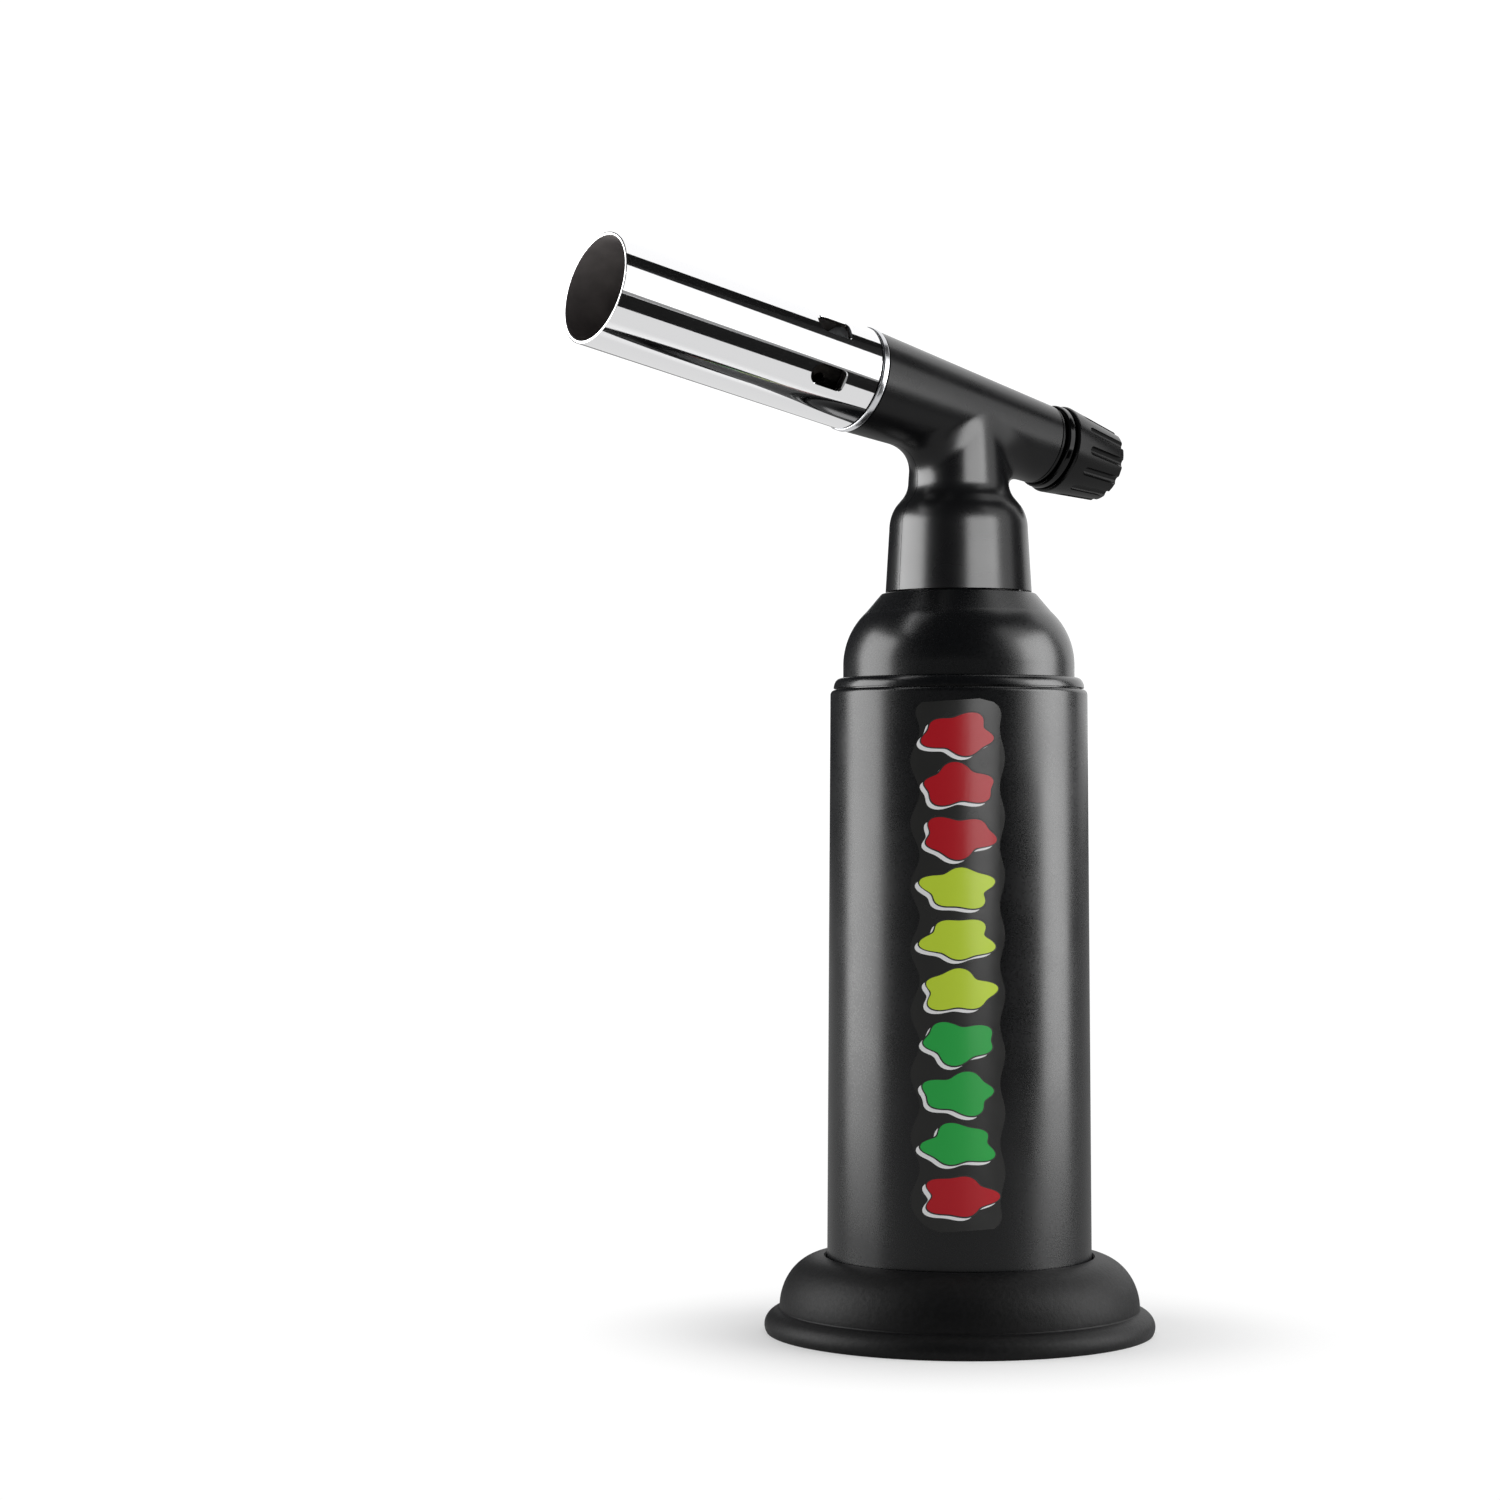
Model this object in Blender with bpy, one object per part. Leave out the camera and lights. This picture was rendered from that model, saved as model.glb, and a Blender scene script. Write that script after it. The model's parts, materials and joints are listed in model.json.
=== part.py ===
"""A table-top butane torch: a round foot, a tall cased fuel tank, a two-part head shell with a tilted
burner sleeve, a gas valve with a fluted flow knob, a piezo igniter and a refill valve underneath.

Every sub-part is its own object. Sizes are in millimetres and become metres in the helpers below.
The turned parts are drawn as (radius, height) outlines round the tank's axis, or round the head's axis,
where height runs forward along the burner, towards the flame.
Run it with blender --background --python part.py, or from the text editor.
"""

import math

import bmesh
import bpy
from mathutils import Matrix, Vector

MM = 0.001

# Fit and mesh fineness
GAP = 0.3  # between pieces that touch or are cut by each other
WIDE_STEPS = 40  # sides of the big turned parts
HEAD_STEPS = 32  # sides of the head shell and what it holds
NARROW_STEPS = 14  # sides of the small turned parts
WIRE_SIDES = 1  # bevel resolution of coils and leads
OVERRUN = 2.0  # how far a cutter runs past what it cuts

# Foot
FOOT_R = 39.4
FLANGE_ROUND = 3.8
FLANGE_MID_Z = 1.4
FOOT_WAIST_R = 36.35
FOOT_WAIST_Z = 4.8
FOOT_TOP_Z = 15.3
FOOT_MOUTH_R = 27.4
RECESS_R = 20.0
SEAT_Z = 7.7

# Casing and tank
CASING_FOOT_R = 26.72
CASING_TOP_R = 26.0
CASING_WALL = 1.25
CASING_BOTTOM_Z = SEAT_Z + GAP
CASING_TOP_Z = 129.5
CASING_EDGE = 1.0
COLLAR_R = 25.35
COLLAR_TOP_Z = 131.9
SHOULDER_R = 23.4
SHOULDER_WALL = 1.2
SHOULDER_SKIRT_Z = 124.0
SHOULDER_BEND_Z = 134.5
SHOULDER_BEND_R = 14.8
SHOULDER_BEND_END = 47.0  # degrees from level to where the dome becomes a cone
SHOULDER_TOP_Z = 149.1
SHOULDER_TOP_R = 14.9
NECK_HOLE_R = 12.6
BASE_DISC_T = 3.4
TANK_R = 24.1
TANK_WALL = 1.6
TANK_STEP_Z = 118.5
TANK_NECK_R = 21.5
TANK_PORT_R = 4.2
TANK_BOSS_R = 6.5
TANK_BOSS_Z = 149.0
VALVE_HOLE_R = 5.0

# Refill valve, on the tank's axis
REFILL_BODY_R = 4.7
REFILL_BODY_TOP_Z = 24.0
REFILL_STEM_R = 1.4
REFILL_STEM_TIP_Z = 4.6
REFILL_LEDGE_Z = 9.0
REFILL_CHAMBER_R = 2.9
REFILL_CHAMBER_TOP_Z = 22.0

# Outlet and feed, on the tank's axis
OUTLET_FLANGE_Z = 150.5
OUTLET_TOP_Z = 153.6
FEED_TUBE_R = 1.2
FEED_TUBE_TOP_Z = 182.4
WICK_R = 1.7

# Label on the casing
LABEL_AZIMUTH = -126.5  # degrees round from +X, towards the front left
LABEL_HALF_WIDTH = 9.6
LABEL_LOW_Z = 23.0
LABEL_HIGH_Z = 127.0
LABEL_T = 0.15
LABEL_CLEARANCE = 0.12

# Head: its axis crosses the tank's axis at HEAD_Z and rises towards the flame
HEAD_Z = 185.2
HEAD_TILT = math.radians(12.6)
HEAD_FRONT_S = 25.2
HEAD_FRONT_R = 10.5
HEAD_BACK_S = -21.9
HEAD_BACK_R = 8.2
SHELL_WALL = 1.6
END_WALL = 2.0
RIB_PLACES = (-12.0, 8.0)  # along the head: where ribs hold the valve block
RIB_T = 1.5
NECK_FOOT_Z = SHOULDER_TOP_Z + GAP
NECK_FOOT_R = 14.8
NECK_WAIST_Z = 171.0
NECK_WAIST_R = 10.2
SPIGOT_Z = 146.3

# Burner
RING_R = 10.75
RING_BACK_S = HEAD_FRONT_S + GAP
RING_FRONT_S = 26.9
SLEEVE_BACK_S = RING_FRONT_S + GAP
SLEEVE_FRONT_S = 87.7
SLEEVE_BACK_R = 10.5
SLEEVE_FRONT_R = 11.1
SLEEVE_WALL = 0.8
WINDOW_TURNS = (53.5, 113.5, -53.5, -113.5)  # degrees from the top, towards the left side
WINDOW_BACK_S = 34.7
WINDOW_LENGTH = 7.5
WINDOW_WIDTH = 4.2
SOCKET_R = 8.5
SOCKET_BACK_S = 21.0
SOCKET_FRONT_S = 32.6
SOCKET_BORE_R = 4.9
BURNER_TUBE_R = 4.6
BURNER_TUBE_BACK_S = 28.5
BURNER_PLATE_BACK_S = 66.3
BURNER_PLATE_FRONT_S = 71.3
BURNER_PLATE_R = 9.7
JET_COUNT = 6
JET_RING_R = 2.6
ELECTRODE_RING_R = 7.1
INSULATOR_R = 1.0
INSULATOR_BACK_S = 19.5
INSULATOR_FRONT_S = 72.0
GAS_JET_FRONT_S = 28.0
ELECTRODE_WIRE_R = 0.4

# Gas valve, on the head's axis
BLOCK_R = 4.4
BLOCK_BACK_S = -14.0
BLOCK_FRONT_S = 13.0
NEEDLE_R = 1.0
NEEDLE_BACK_S = -34.2
NEEDLE_THREAD_S = -30.2
GLAND_BACK_S = -21.6
BAND_R = 8.7
BAND_FRONT_S = HEAD_BACK_S - GAP
BAND_BACK_S = -24.0
KNOB_FRONT_S = -24.4
KNOB_BACK_S = -38.0
KNOB_FRONT_R = 9.2
KNOB_BACK_R = 7.3
KNOB_HUB_S = -27.2
KNOB_WEB_S = -29.7
KNOB_SEAT_S = -34.8
KNOB_SCREW_R = 2.2
FLUTE_COUNT = 12
FLUTE_WIDTH = 1.9
FLUTE_FRONT_S = -28.0

# Igniter, on an axis that crosses the neck from side to side
IGNITER_X = 5.0
IGNITER_Z = 157.4
BUTTON_R = 3.4
BUTTON_TOP = 16.6
BUTTON_FLANGE_R = 4.0
BUTTON_FLANGE_BASE = 7.6
PIEZO_SIDE = 6.4
PIEZO_BACK = -8.4
PIEZO_MOUTH = 4.2
PIEZO_BORE_R = 2.6
PIEZO_BORE_FLOOR = -6.0
PLUNGER_R = 2.2
PLUNGER_END = 1.5

# Screws that close the head shell: (x, z) from the tank's axis
SCREW_HEAD_R = 1.6
SCREW_SHANK_R = 0.7
BOSS_R = 2.3
SCREW_TIP = -5.0
SCREW_SEAT = 3.6
SCREW_HEAD_T = 1.3


def head_point(across, side, along):
    """A point of the head, from the tank's axis: across is up, side is +Y and along is forward."""
    x = -along * math.cos(HEAD_TILT) + across * math.sin(HEAD_TILT)
    z = HEAD_Z + along * math.sin(HEAD_TILT) + across * math.cos(HEAD_TILT)
    return (x, side, z)


SCREW_PLACES = (
    (-9.5, 154.6),
    (-5.0, 172.6),
    head_point(-7.0, 0.0, 16.0)[::2],
)

# The object stands with the middle of its box over the origin, so the tank's axis is off to one side.
# The sleeve's lower lip reaches furthest forward, and the foot furthest back.
REACH_FRONT = head_point(-SLEEVE_FRONT_R, 0.0, SLEEVE_FRONT_S)[0]
TANK_X = -(REACH_FRONT + FOOT_R) / 2


# ---------------------------------------------------------------- helpers


def material(name, colour, roughness, metallic=0.0):
    """One Principled material, made once for each name."""
    made = bpy.data.materials.get(name)
    if made:
        return made
    made = bpy.data.materials.new(name)
    made.use_nodes = True
    shader = made.node_tree.nodes["Principled BSDF"]
    shader.inputs["Base Color"].default_value = (*colour, 1.0)
    shader.inputs["Roughness"].default_value = roughness
    shader.inputs["Metallic"].default_value = metallic
    made.diffuse_color = (*colour, 1.0)
    return made


def steel(name, roughness=0.35):
    return material(name, (0.62, 0.62, 0.64), roughness, 1.0)


def brass(name):
    return material(name, (0.78, 0.6, 0.3), 0.35, 1.0)


def axis_empty(name, place, turn=(0.0, 0.0, 0.0)):
    empty = bpy.data.objects.new(name, None)
    empty.location = Vector(place) * MM
    empty.rotation_euler = turn
    bpy.context.scene.collection.objects.link(empty)
    return empty


def place_mesh(bm, name, parent, skin=None, place=(0.0, 0.0, 0.0)):
    """Makes an object of a bmesh drawn in millimetres, shades it and hangs it on its axis."""
    bmesh.ops.remove_doubles(bm, verts=bm.verts, dist=0.001)
    bmesh.ops.recalc_face_normals(bm, faces=bm.faces)
    bmesh.ops.scale(bm, verts=bm.verts, vec=(MM, MM, MM))
    mesh = bpy.data.meshes.new(name)
    bm.to_mesh(mesh)
    bm.free()
    mesh.shade_smooth()
    mesh.set_sharp_from_angle(angle=math.radians(32))
    made = bpy.data.objects.new(name, mesh)
    bpy.context.scene.collection.objects.link(made)
    made.parent = parent
    made.location = Vector(place) * MM
    if skin:
        mesh.materials.append(skin)
    return made


def arc(centre, radii, start, end, steps):
    """Points of an elliptical arc, with its angles in degrees from the outward direction."""
    points = []
    for step in range(steps + 1):
        angle = math.radians(start + (end - start) * step / steps)
        points.append((centre[0] + radii[0] * math.cos(angle), centre[1] + radii[1] * math.sin(angle)))
    return points


def turned(name, outline, parent, skin=None, steps=WIDE_STEPS, place=(0.0, 0.0, 0.0)):
    """A solid turned round its parent's Z axis from a closed (radius, height) outline.

    It starts half a step round, so that no edge lies in the torch's middle plane, where the shells part.
    """
    bm = bmesh.new()
    ring = [bm.verts.new((radius, 0.0, height)) for radius, height in outline]
    edges = [bm.edges.new(pair) for pair in zip(ring, ring[1:] + ring[:1]) if not on_axis(pair)]
    bmesh.ops.spin(
        bm,
        geom=ring + edges,
        cent=(0.0, 0.0, 0.0),
        axis=(0.0, 0.0, 1.0),
        angle=math.tau,
        steps=steps,
        use_merge=True,
    )
    half_step = Matrix.Rotation(math.pi / steps, 3, "Z")
    bmesh.ops.rotate(bm, verts=bm.verts, cent=(0.0, 0.0, 0.0), matrix=half_step)
    return place_mesh(bm, name, parent, skin, place)


def on_axis(pair):
    return all(abs(vertex.co.x) < 1e-6 for vertex in pair)


def rod(name, radius, low, high, parent, skin=None, steps=NARROW_STEPS, place=(0.0, 0.0, 0.0)):
    outline = [(0.0, high), (radius, high), (radius, low), (0.0, low)]
    return turned(name, outline, parent, skin, steps, place)


def pipe(name, outer, inner, low, high, parent, skin=None, steps=NARROW_STEPS):
    outline = [(outer, high), (outer, low), (inner, low), (inner, high)]
    return turned(name, outline, parent, skin, steps)


def o_ring(name, mean_r, thickness, height, parent, skin):
    outline = arc((mean_r, height), (thickness / 2, thickness / 2), 0, 300, 5)
    return turned(name, outline, parent, skin, NARROW_STEPS)


def block(name, low, high, parent, skin=None):
    """A box between two corners."""
    low, high = Vector(low), Vector(high)
    bm = bmesh.new()
    bmesh.ops.create_cube(bm, size=1.0)
    bmesh.ops.scale(bm, verts=bm.verts, vec=high - low)
    bmesh.ops.translate(bm, verts=bm.verts, vec=(low + high) / 2)
    return place_mesh(bm, name, parent, skin)


def wire(name, points, radius, parent, skin):
    """A round wire or lead through the points, with closed ends."""
    curve = bpy.data.curves.new(name, "CURVE")
    curve.dimensions = "3D"
    curve.bevel_depth = radius * MM
    curve.bevel_resolution = WIRE_SIDES
    curve.use_fill_caps = True
    spline = curve.splines.new("POLY")
    spline.points.add(len(points) - 1)
    for knot, point in zip(spline.points, points):
        knot.co = (*(Vector(point) * MM), 1.0)
    curve.materials.append(skin)
    made = bpy.data.objects.new(name, curve)
    bpy.context.scene.collection.objects.link(made)
    made.parent = parent
    return made


def smooth_route(knots, steps):
    """A smooth curve through the knots, as points, by Catmull and Rom's rule."""
    knots = [Vector(knot) for knot in knots]
    ends = [knots[0] * 2 - knots[1]] + knots + [knots[-1] * 2 - knots[-2]]
    points = []
    for before, start, end, after in zip(ends, ends[1:], ends[2:], ends[3:]):
        for step in range(steps):
            t = step / steps
            points.append(
                (
                    start * 2
                    + (end - before) * t
                    + (before * 2 - start * 5 + end * 4 - after) * t**2
                    + (start * 3 - before - end * 3 + after) * t**3
                )
                / 2
            )
    return points + [knots[-1]]


def coil(name, mean_r, wire_r, low, high, turns, parent, skin):
    """A compression spring along its parent's Z axis."""
    steps = 7 * turns
    points = []
    for step in range(steps + 1):
        angle = math.tau * turns * step / steps
        height = low + wire_r + (high - low - 2 * wire_r) * step / steps
        points.append((mean_r * math.cos(angle), mean_r * math.sin(angle), height))
    return wire(name, points, wire_r, parent, skin)


def combine(target, other, operation="DIFFERENCE"):
    """A Boolean with a helper object, which is then left out of the build."""
    modifier = target.modifiers.new(other.name, "BOOLEAN")
    modifier.operation = operation
    modifier.solver = "EXACT"
    modifier.object = other
    other.hide_render = True
    other.display_type = "WIRE"
    return target


# ---------------------------------------------------------------- foot, casing and tank


def make_foot(axis):
    """A heavy moulded ring: a rounded flange, a waist, a fat bead, and the casing's seat."""
    flange = arc((FOOT_R - FLANGE_ROUND, FLANGE_MID_Z), (FLANGE_ROUND, FLANGE_MID_Z + 1.8), -26, 75, 4)
    bead_size = (FOOT_WAIST_R - FOOT_MOUTH_R, FOOT_TOP_Z - FOOT_WAIST_Z)
    bead = arc((FOOT_MOUTH_R, FOOT_WAIST_Z), bead_size, 0, 88, 6)
    wall_r = CASING_FOOT_R + GAP
    mouth = [(wall_r + 0.1, FOOT_TOP_Z - 0.6), (wall_r, FOOT_TOP_Z - 1.6)]
    inside = [(wall_r, SEAT_Z), (RECESS_R, SEAT_Z), (RECESS_R, 0.6), (RECESS_R + 0.6, 0.0)]
    skin = material("foot_rubber", (0.02, 0.02, 0.02), 0.6)
    turned("foot", flange + bead + mouth + inside, axis, skin)


def make_casing(axis):
    """The grip tube round the tank, drawn in slightly towards its rounded top edge."""
    edge_centre = (CASING_TOP_R - CASING_EDGE, CASING_TOP_Z - CASING_EDGE)
    edge = arc(edge_centre, (CASING_EDGE, CASING_EDGE), 0, 75, 3)
    inner_top = CASING_TOP_R - CASING_WALL
    inner_bottom = CASING_FOOT_R - CASING_WALL
    inside = [(inner_top, CASING_TOP_Z), (inner_bottom, CASING_BOTTOM_Z)]
    outline = [(CASING_FOOT_R, CASING_BOTTOM_Z)] + edge + inside
    turned("casing", outline, axis, material("casing_black", (0.025, 0.025, 0.028), 0.45))


def make_casing_collar(axis):
    """The quarter-round trim ring between the casing and the shoulder, plugged into the casing."""
    inner = SHOULDER_R + GAP
    base = CASING_TOP_Z + GAP
    plug_r = CASING_TOP_R - CASING_WALL - GAP
    edge = arc((inner, base), (COLLAR_R - inner, COLLAR_TOP_Z - base), 0, 84, 4)
    outline = edge + [(inner, COLLAR_TOP_Z - 0.3), (inner, SHOULDER_SKIRT_Z + 1.0)]
    outline += [(plug_r, SHOULDER_SKIRT_Z + 1.0), (plug_r, base)]
    turned("casing_collar", outline, axis, material("collar_black", (0.03, 0.03, 0.033), 0.4))


def dome(radius, start_z, bend_r, steps):
    """The rounded part of the shoulder or of the tank's top, from its upright wall to its cone."""
    return arc((radius - bend_r, start_z), (bend_r, bend_r), 0, SHOULDER_BEND_END, steps)


def make_shoulder(axis):
    """The domed cover between the casing and the head's neck."""
    outside = [(SHOULDER_R, SHOULDER_SKIRT_Z)] + dome(SHOULDER_R, SHOULDER_BEND_Z, SHOULDER_BEND_R, 5)
    outside += [(SHOULDER_TOP_R + 0.9, SHOULDER_TOP_Z - 0.7), (SHOULDER_TOP_R + 0.4, SHOULDER_TOP_Z - 0.15)]
    top = [(SHOULDER_TOP_R, SHOULDER_TOP_Z), (NECK_HOLE_R, SHOULDER_TOP_Z)]
    under_z = SHOULDER_TOP_Z - SHOULDER_WALL
    inside = dome(SHOULDER_R - SHOULDER_WALL, SHOULDER_BEND_Z, SHOULDER_BEND_R - SHOULDER_WALL, 3)[::-1]
    under = [(NECK_HOLE_R, under_z), (SHOULDER_TOP_R - 0.2, under_z)]
    skirt = [(SHOULDER_R - SHOULDER_WALL, SHOULDER_SKIRT_Z)]
    skin = material("shoulder_black", (0.025, 0.025, 0.028), 0.45)
    turned("shoulder", outside + top + under + inside + skirt, axis, skin)


def make_fuel_tank(axis):
    """The pressure vessel, open at the refill hole below and at the outlet port above."""
    floor_z = CASING_BOTTOM_Z + BASE_DISC_T + GAP
    bend = SHOULDER_BEND_R - (SHOULDER_R - TANK_NECK_R)
    outside = [(TANK_R, floor_z), (TANK_R, TANK_STEP_Z), (TANK_NECK_R, TANK_STEP_Z + 5.0)]
    outside += dome(TANK_NECK_R, SHOULDER_BEND_Z, bend, 3)
    boss = [(TANK_BOSS_R + 2.0, 145.8), (TANK_BOSS_R, 146.4), (TANK_BOSS_R, TANK_BOSS_Z)]
    port = [(TANK_PORT_R, TANK_BOSS_Z), (TANK_PORT_R, 143.6)]
    inside = dome(TANK_NECK_R - TANK_WALL, SHOULDER_BEND_Z, bend - TANK_WALL, 3)[::-1]
    inside += [(TANK_NECK_R - TANK_WALL, TANK_STEP_Z + 4.6), (TANK_R - TANK_WALL, TANK_STEP_Z - 0.4)]
    floor = [(TANK_R - TANK_WALL, floor_z + 2.0), (VALVE_HOLE_R, floor_z + 2.0), (VALVE_HOLE_R, floor_z)]
    skin = material("tank_nylon", (0.75, 0.75, 0.72), 0.5)
    turned("fuel_tank", outside + boss + port + inside + floor, axis, skin, HEAD_STEPS)


def make_tank_base(axis):
    low = CASING_BOTTOM_Z
    outer = CASING_FOOT_R - CASING_WALL - GAP
    skin = material("tank_base_nylon", (0.05, 0.05, 0.05), 0.5)
    pipe("tank_base", outer, VALVE_HOLE_R + 0.2, low, low + BASE_DISC_T, axis, skin, HEAD_STEPS)


def make_refill_valve(axis):
    """A sprung stem in a brass body: pressing the stem upwards lets gas in."""
    flange_r, flange_low, flange_high = 8.0, 5.9, CASING_BOTTOM_Z - GAP
    body = [(flange_r, flange_high), (flange_r, flange_low), (REFILL_STEM_R + 0.4, flange_low)]
    body += [(REFILL_STEM_R + 0.4, REFILL_LEDGE_Z), (REFILL_CHAMBER_R, REFILL_LEDGE_Z)]
    body += [(REFILL_CHAMBER_R, REFILL_CHAMBER_TOP_Z), (0.7, REFILL_CHAMBER_TOP_Z)]
    body += [(0.7, REFILL_BODY_TOP_Z), (REFILL_BODY_R - 0.8, REFILL_BODY_TOP_Z)]
    body += [(REFILL_BODY_R, REFILL_BODY_TOP_Z - 0.8), (REFILL_BODY_R, flange_high)]
    turned("refill_valve_body", body, axis, brass("refill_body_brass"), NARROW_STEPS)
    collar_r, collar_low, collar_high = 2.55, 9.9, 11.0
    stem = [(0.0, 16.0), (REFILL_STEM_R, 16.0), (REFILL_STEM_R, collar_high), (collar_r, collar_high)]
    stem += [(collar_r, collar_low), (REFILL_STEM_R, collar_low), (REFILL_STEM_R, REFILL_STEM_TIP_Z + 0.5)]
    stem += [(REFILL_STEM_R - 0.5, REFILL_STEM_TIP_Z), (0.0, REFILL_STEM_TIP_Z)]
    turned("refill_valve_stem", stem, axis, brass("refill_stem_brass"), NARROW_STEPS)
    seal_skin = material("refill_seal_rubber", (0.03, 0.03, 0.03), 0.7)
    pipe("refill_valve_seal", collar_r, REFILL_STEM_R + 0.2, 9.2, 9.6, axis, seal_skin)
    coil("refill_valve_spring", 2.05, 0.3, collar_high + 0.25, REFILL_CHAMBER_TOP_Z - 0.25, 6, axis,
         steel("refill_spring_steel"))


def make_outlet(axis):
    """The brass outlet in the tank's port, its seal, the wick below it and the feed tube above it."""
    body_r = TANK_PORT_R - GAP
    outline = [(0.9, OUTLET_TOP_Z), (2.4, OUTLET_TOP_Z), (2.4, OUTLET_FLANGE_Z + 1.5)]
    outline += [(6.3, OUTLET_FLANGE_Z + 1.5), (6.3, OUTLET_FLANGE_Z), (body_r, OUTLET_FLANGE_Z)]
    outline += [(body_r, 139.0), (0.9, 139.0)]
    turned("outlet_fitting", outline, axis, brass("outlet_brass"), NARROW_STEPS)
    seal_skin = material("tank_seal_rubber", (0.03, 0.03, 0.03), 0.7)
    o_ring("tank_neck_seal", 5.2, 1.0, (TANK_BOSS_Z + OUTLET_FLANGE_Z) / 2, axis, seal_skin)
    wick_skin = material("wick_felt", (0.7, 0.66, 0.56), 0.9)
    pipe("fuel_wick", WICK_R, WICK_R - 0.6, 27.0, 138.6, axis, wick_skin)
    pipe("feed_tube", FEED_TUBE_R, FEED_TUBE_R - 0.4, OUTLET_TOP_Z + GAP, FEED_TUBE_TOP_Z, axis,
         steel("feed_tube_steel"))


def label_half_width(share):
    """Half the label's width at a share from -1, its low end, to 1: lobed sides and round ends."""
    lobes = 1.0 - 0.1 * (0.5 + 0.5 * math.cos(share * 9.0 * math.pi))
    end = max(0.0, (abs(share) - 0.93) / 0.07)
    return LABEL_HALF_WIDTH * lobes * (0.5 + 0.5 * math.sqrt(1.0 - end**2))


def make_label(axis):
    """A die-cut decal that follows the casing's curve."""
    columns, rows = 6, 28
    bm = bmesh.new()
    bmesh.ops.create_grid(bm, x_segments=columns, y_segments=rows, size=1.0)
    for vertex in bm.verts:
        share = math.sin(vertex.co.y * math.pi / 2)
        height = LABEL_LOW_Z + (LABEL_HIGH_Z - LABEL_LOW_Z) * (share + 1) / 2
        rise = (height - CASING_BOTTOM_Z) / (CASING_TOP_Z - CASING_EDGE - CASING_BOTTOM_Z)
        radius = CASING_FOOT_R + (CASING_TOP_R - CASING_FOOT_R) * rise + LABEL_CLEARANCE
        angle = math.radians(LABEL_AZIMUTH) + vertex.co.x * label_half_width(share) / radius
        vertex.co = (radius * math.cos(angle), radius * math.sin(angle), height)
    grown = bmesh.ops.extrude_face_region(bm, geom=bm.faces[:], use_keep_orig=True)
    thicker = 1.0 + LABEL_T / CASING_FOOT_R
    outer = [item for item in grown["geom"] if isinstance(item, bmesh.types.BMVert)]
    bmesh.ops.scale(bm, verts=outer, vec=(thicker, thicker, 1.0))
    place_mesh(bm, "label", axis, material("label_film", (0.02, 0.02, 0.02), 0.2))


# ---------------------------------------------------------------- head shell


def neck_outline(wall):
    """The neck from the shoulder up into the head tube: the outer skin, or inside it by a wall."""
    foot_r, waist_r = NECK_FOOT_R - wall, NECK_WAIST_R - wall
    points = [(foot_r, NECK_FOOT_Z + wall), (foot_r - 0.85, 162.6)]
    points += arc((foot_r - 5.2, 162.6), (4.35, 5.4), 12, 50, 3)
    points += arc((waist_r + 5.2, NECK_WAIST_Z + 0.6), (5.2, 5.2), 222, 180, 3)
    points += [(waist_r - 0.2, NECK_WAIST_Z + 4.0), (waist_r - 0.85, HEAD_Z)]
    return points + [(waist_r - 2.2, HEAD_Z + 2.8), (0.0, HEAD_Z + 3.6)]


def make_head_shell(side, tank_axis, head_axis):
    """One half of the head, side -1 for the left or 1 for the right, parted on the torch's middle plane."""
    name = "head_shell_left" if side < 0 else "head_shell_right"
    spigot_r = NECK_HOLE_R - GAP
    spigot = [(0.0, SPIGOT_Z), (spigot_r, SPIGOT_Z), (spigot_r, NECK_FOOT_Z)]
    skin = material(name + "_plastic", (0.02, 0.02, 0.022), 0.35)
    shell = turned(name, spigot + neck_outline(0.0), tank_axis, skin, HEAD_STEPS)
    barrel = [(0.0, HEAD_FRONT_S), (HEAD_FRONT_R - 0.3, HEAD_FRONT_S), (HEAD_FRONT_R, HEAD_FRONT_S - 0.3)]
    barrel += [(HEAD_BACK_R, HEAD_BACK_S + 1.2), (HEAD_BACK_R - 0.5, HEAD_BACK_S), (0.0, HEAD_BACK_S)]
    combine(shell, turned(name + "_barrel", barrel, head_axis, None, HEAD_STEPS), "UNION")
    combine(shell, make_head_cavity(name, side, tank_axis, head_axis))
    far = 60.0
    near = side * GAP / 2
    low_y, high_y = (near, far) if side < 0 else (-far, near)
    half = block(name + "_other_half", (-far, low_y, 100.0), (far, high_y, 260.0), tank_axis)
    combine(shell, half)
    end_hole = rod(name + "_end_hole", 3.4, HEAD_BACK_S - OVERRUN, HEAD_BACK_S + OVERRUN * 2, head_axis)
    combine(shell, end_hole)
    for number, (x, z) in enumerate(SCREW_PLACES, 1):
        across = axis_empty(f"{name}_screw_axis_{number}", (TANK_X + x, 0.0, z), (-math.pi / 2, 0.0, 0.0))
        pilot = rod(f"{name}_pilot_{number}", SCREW_SHANK_R + 0.3, SCREW_TIP - 0.5, 20.0, across, None, 12)
        combine(shell, pilot)
        if side > 0:
            seat = rod(f"{name}_seat_{number}", SCREW_HEAD_R + 0.3, SCREW_SEAT, 20.0, across, None, 16)
            combine(shell, seat)
    if side > 0:
        place = (TANK_X + IGNITER_X, 0.0, IGNITER_Z)
        across = axis_empty("button_hole_axis", place, (-math.pi / 2, 0.0, 0.0))
        combine(shell, rod("button_hole", BUTTON_R + GAP, 8.9, 20.0, across, None, 24))


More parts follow.
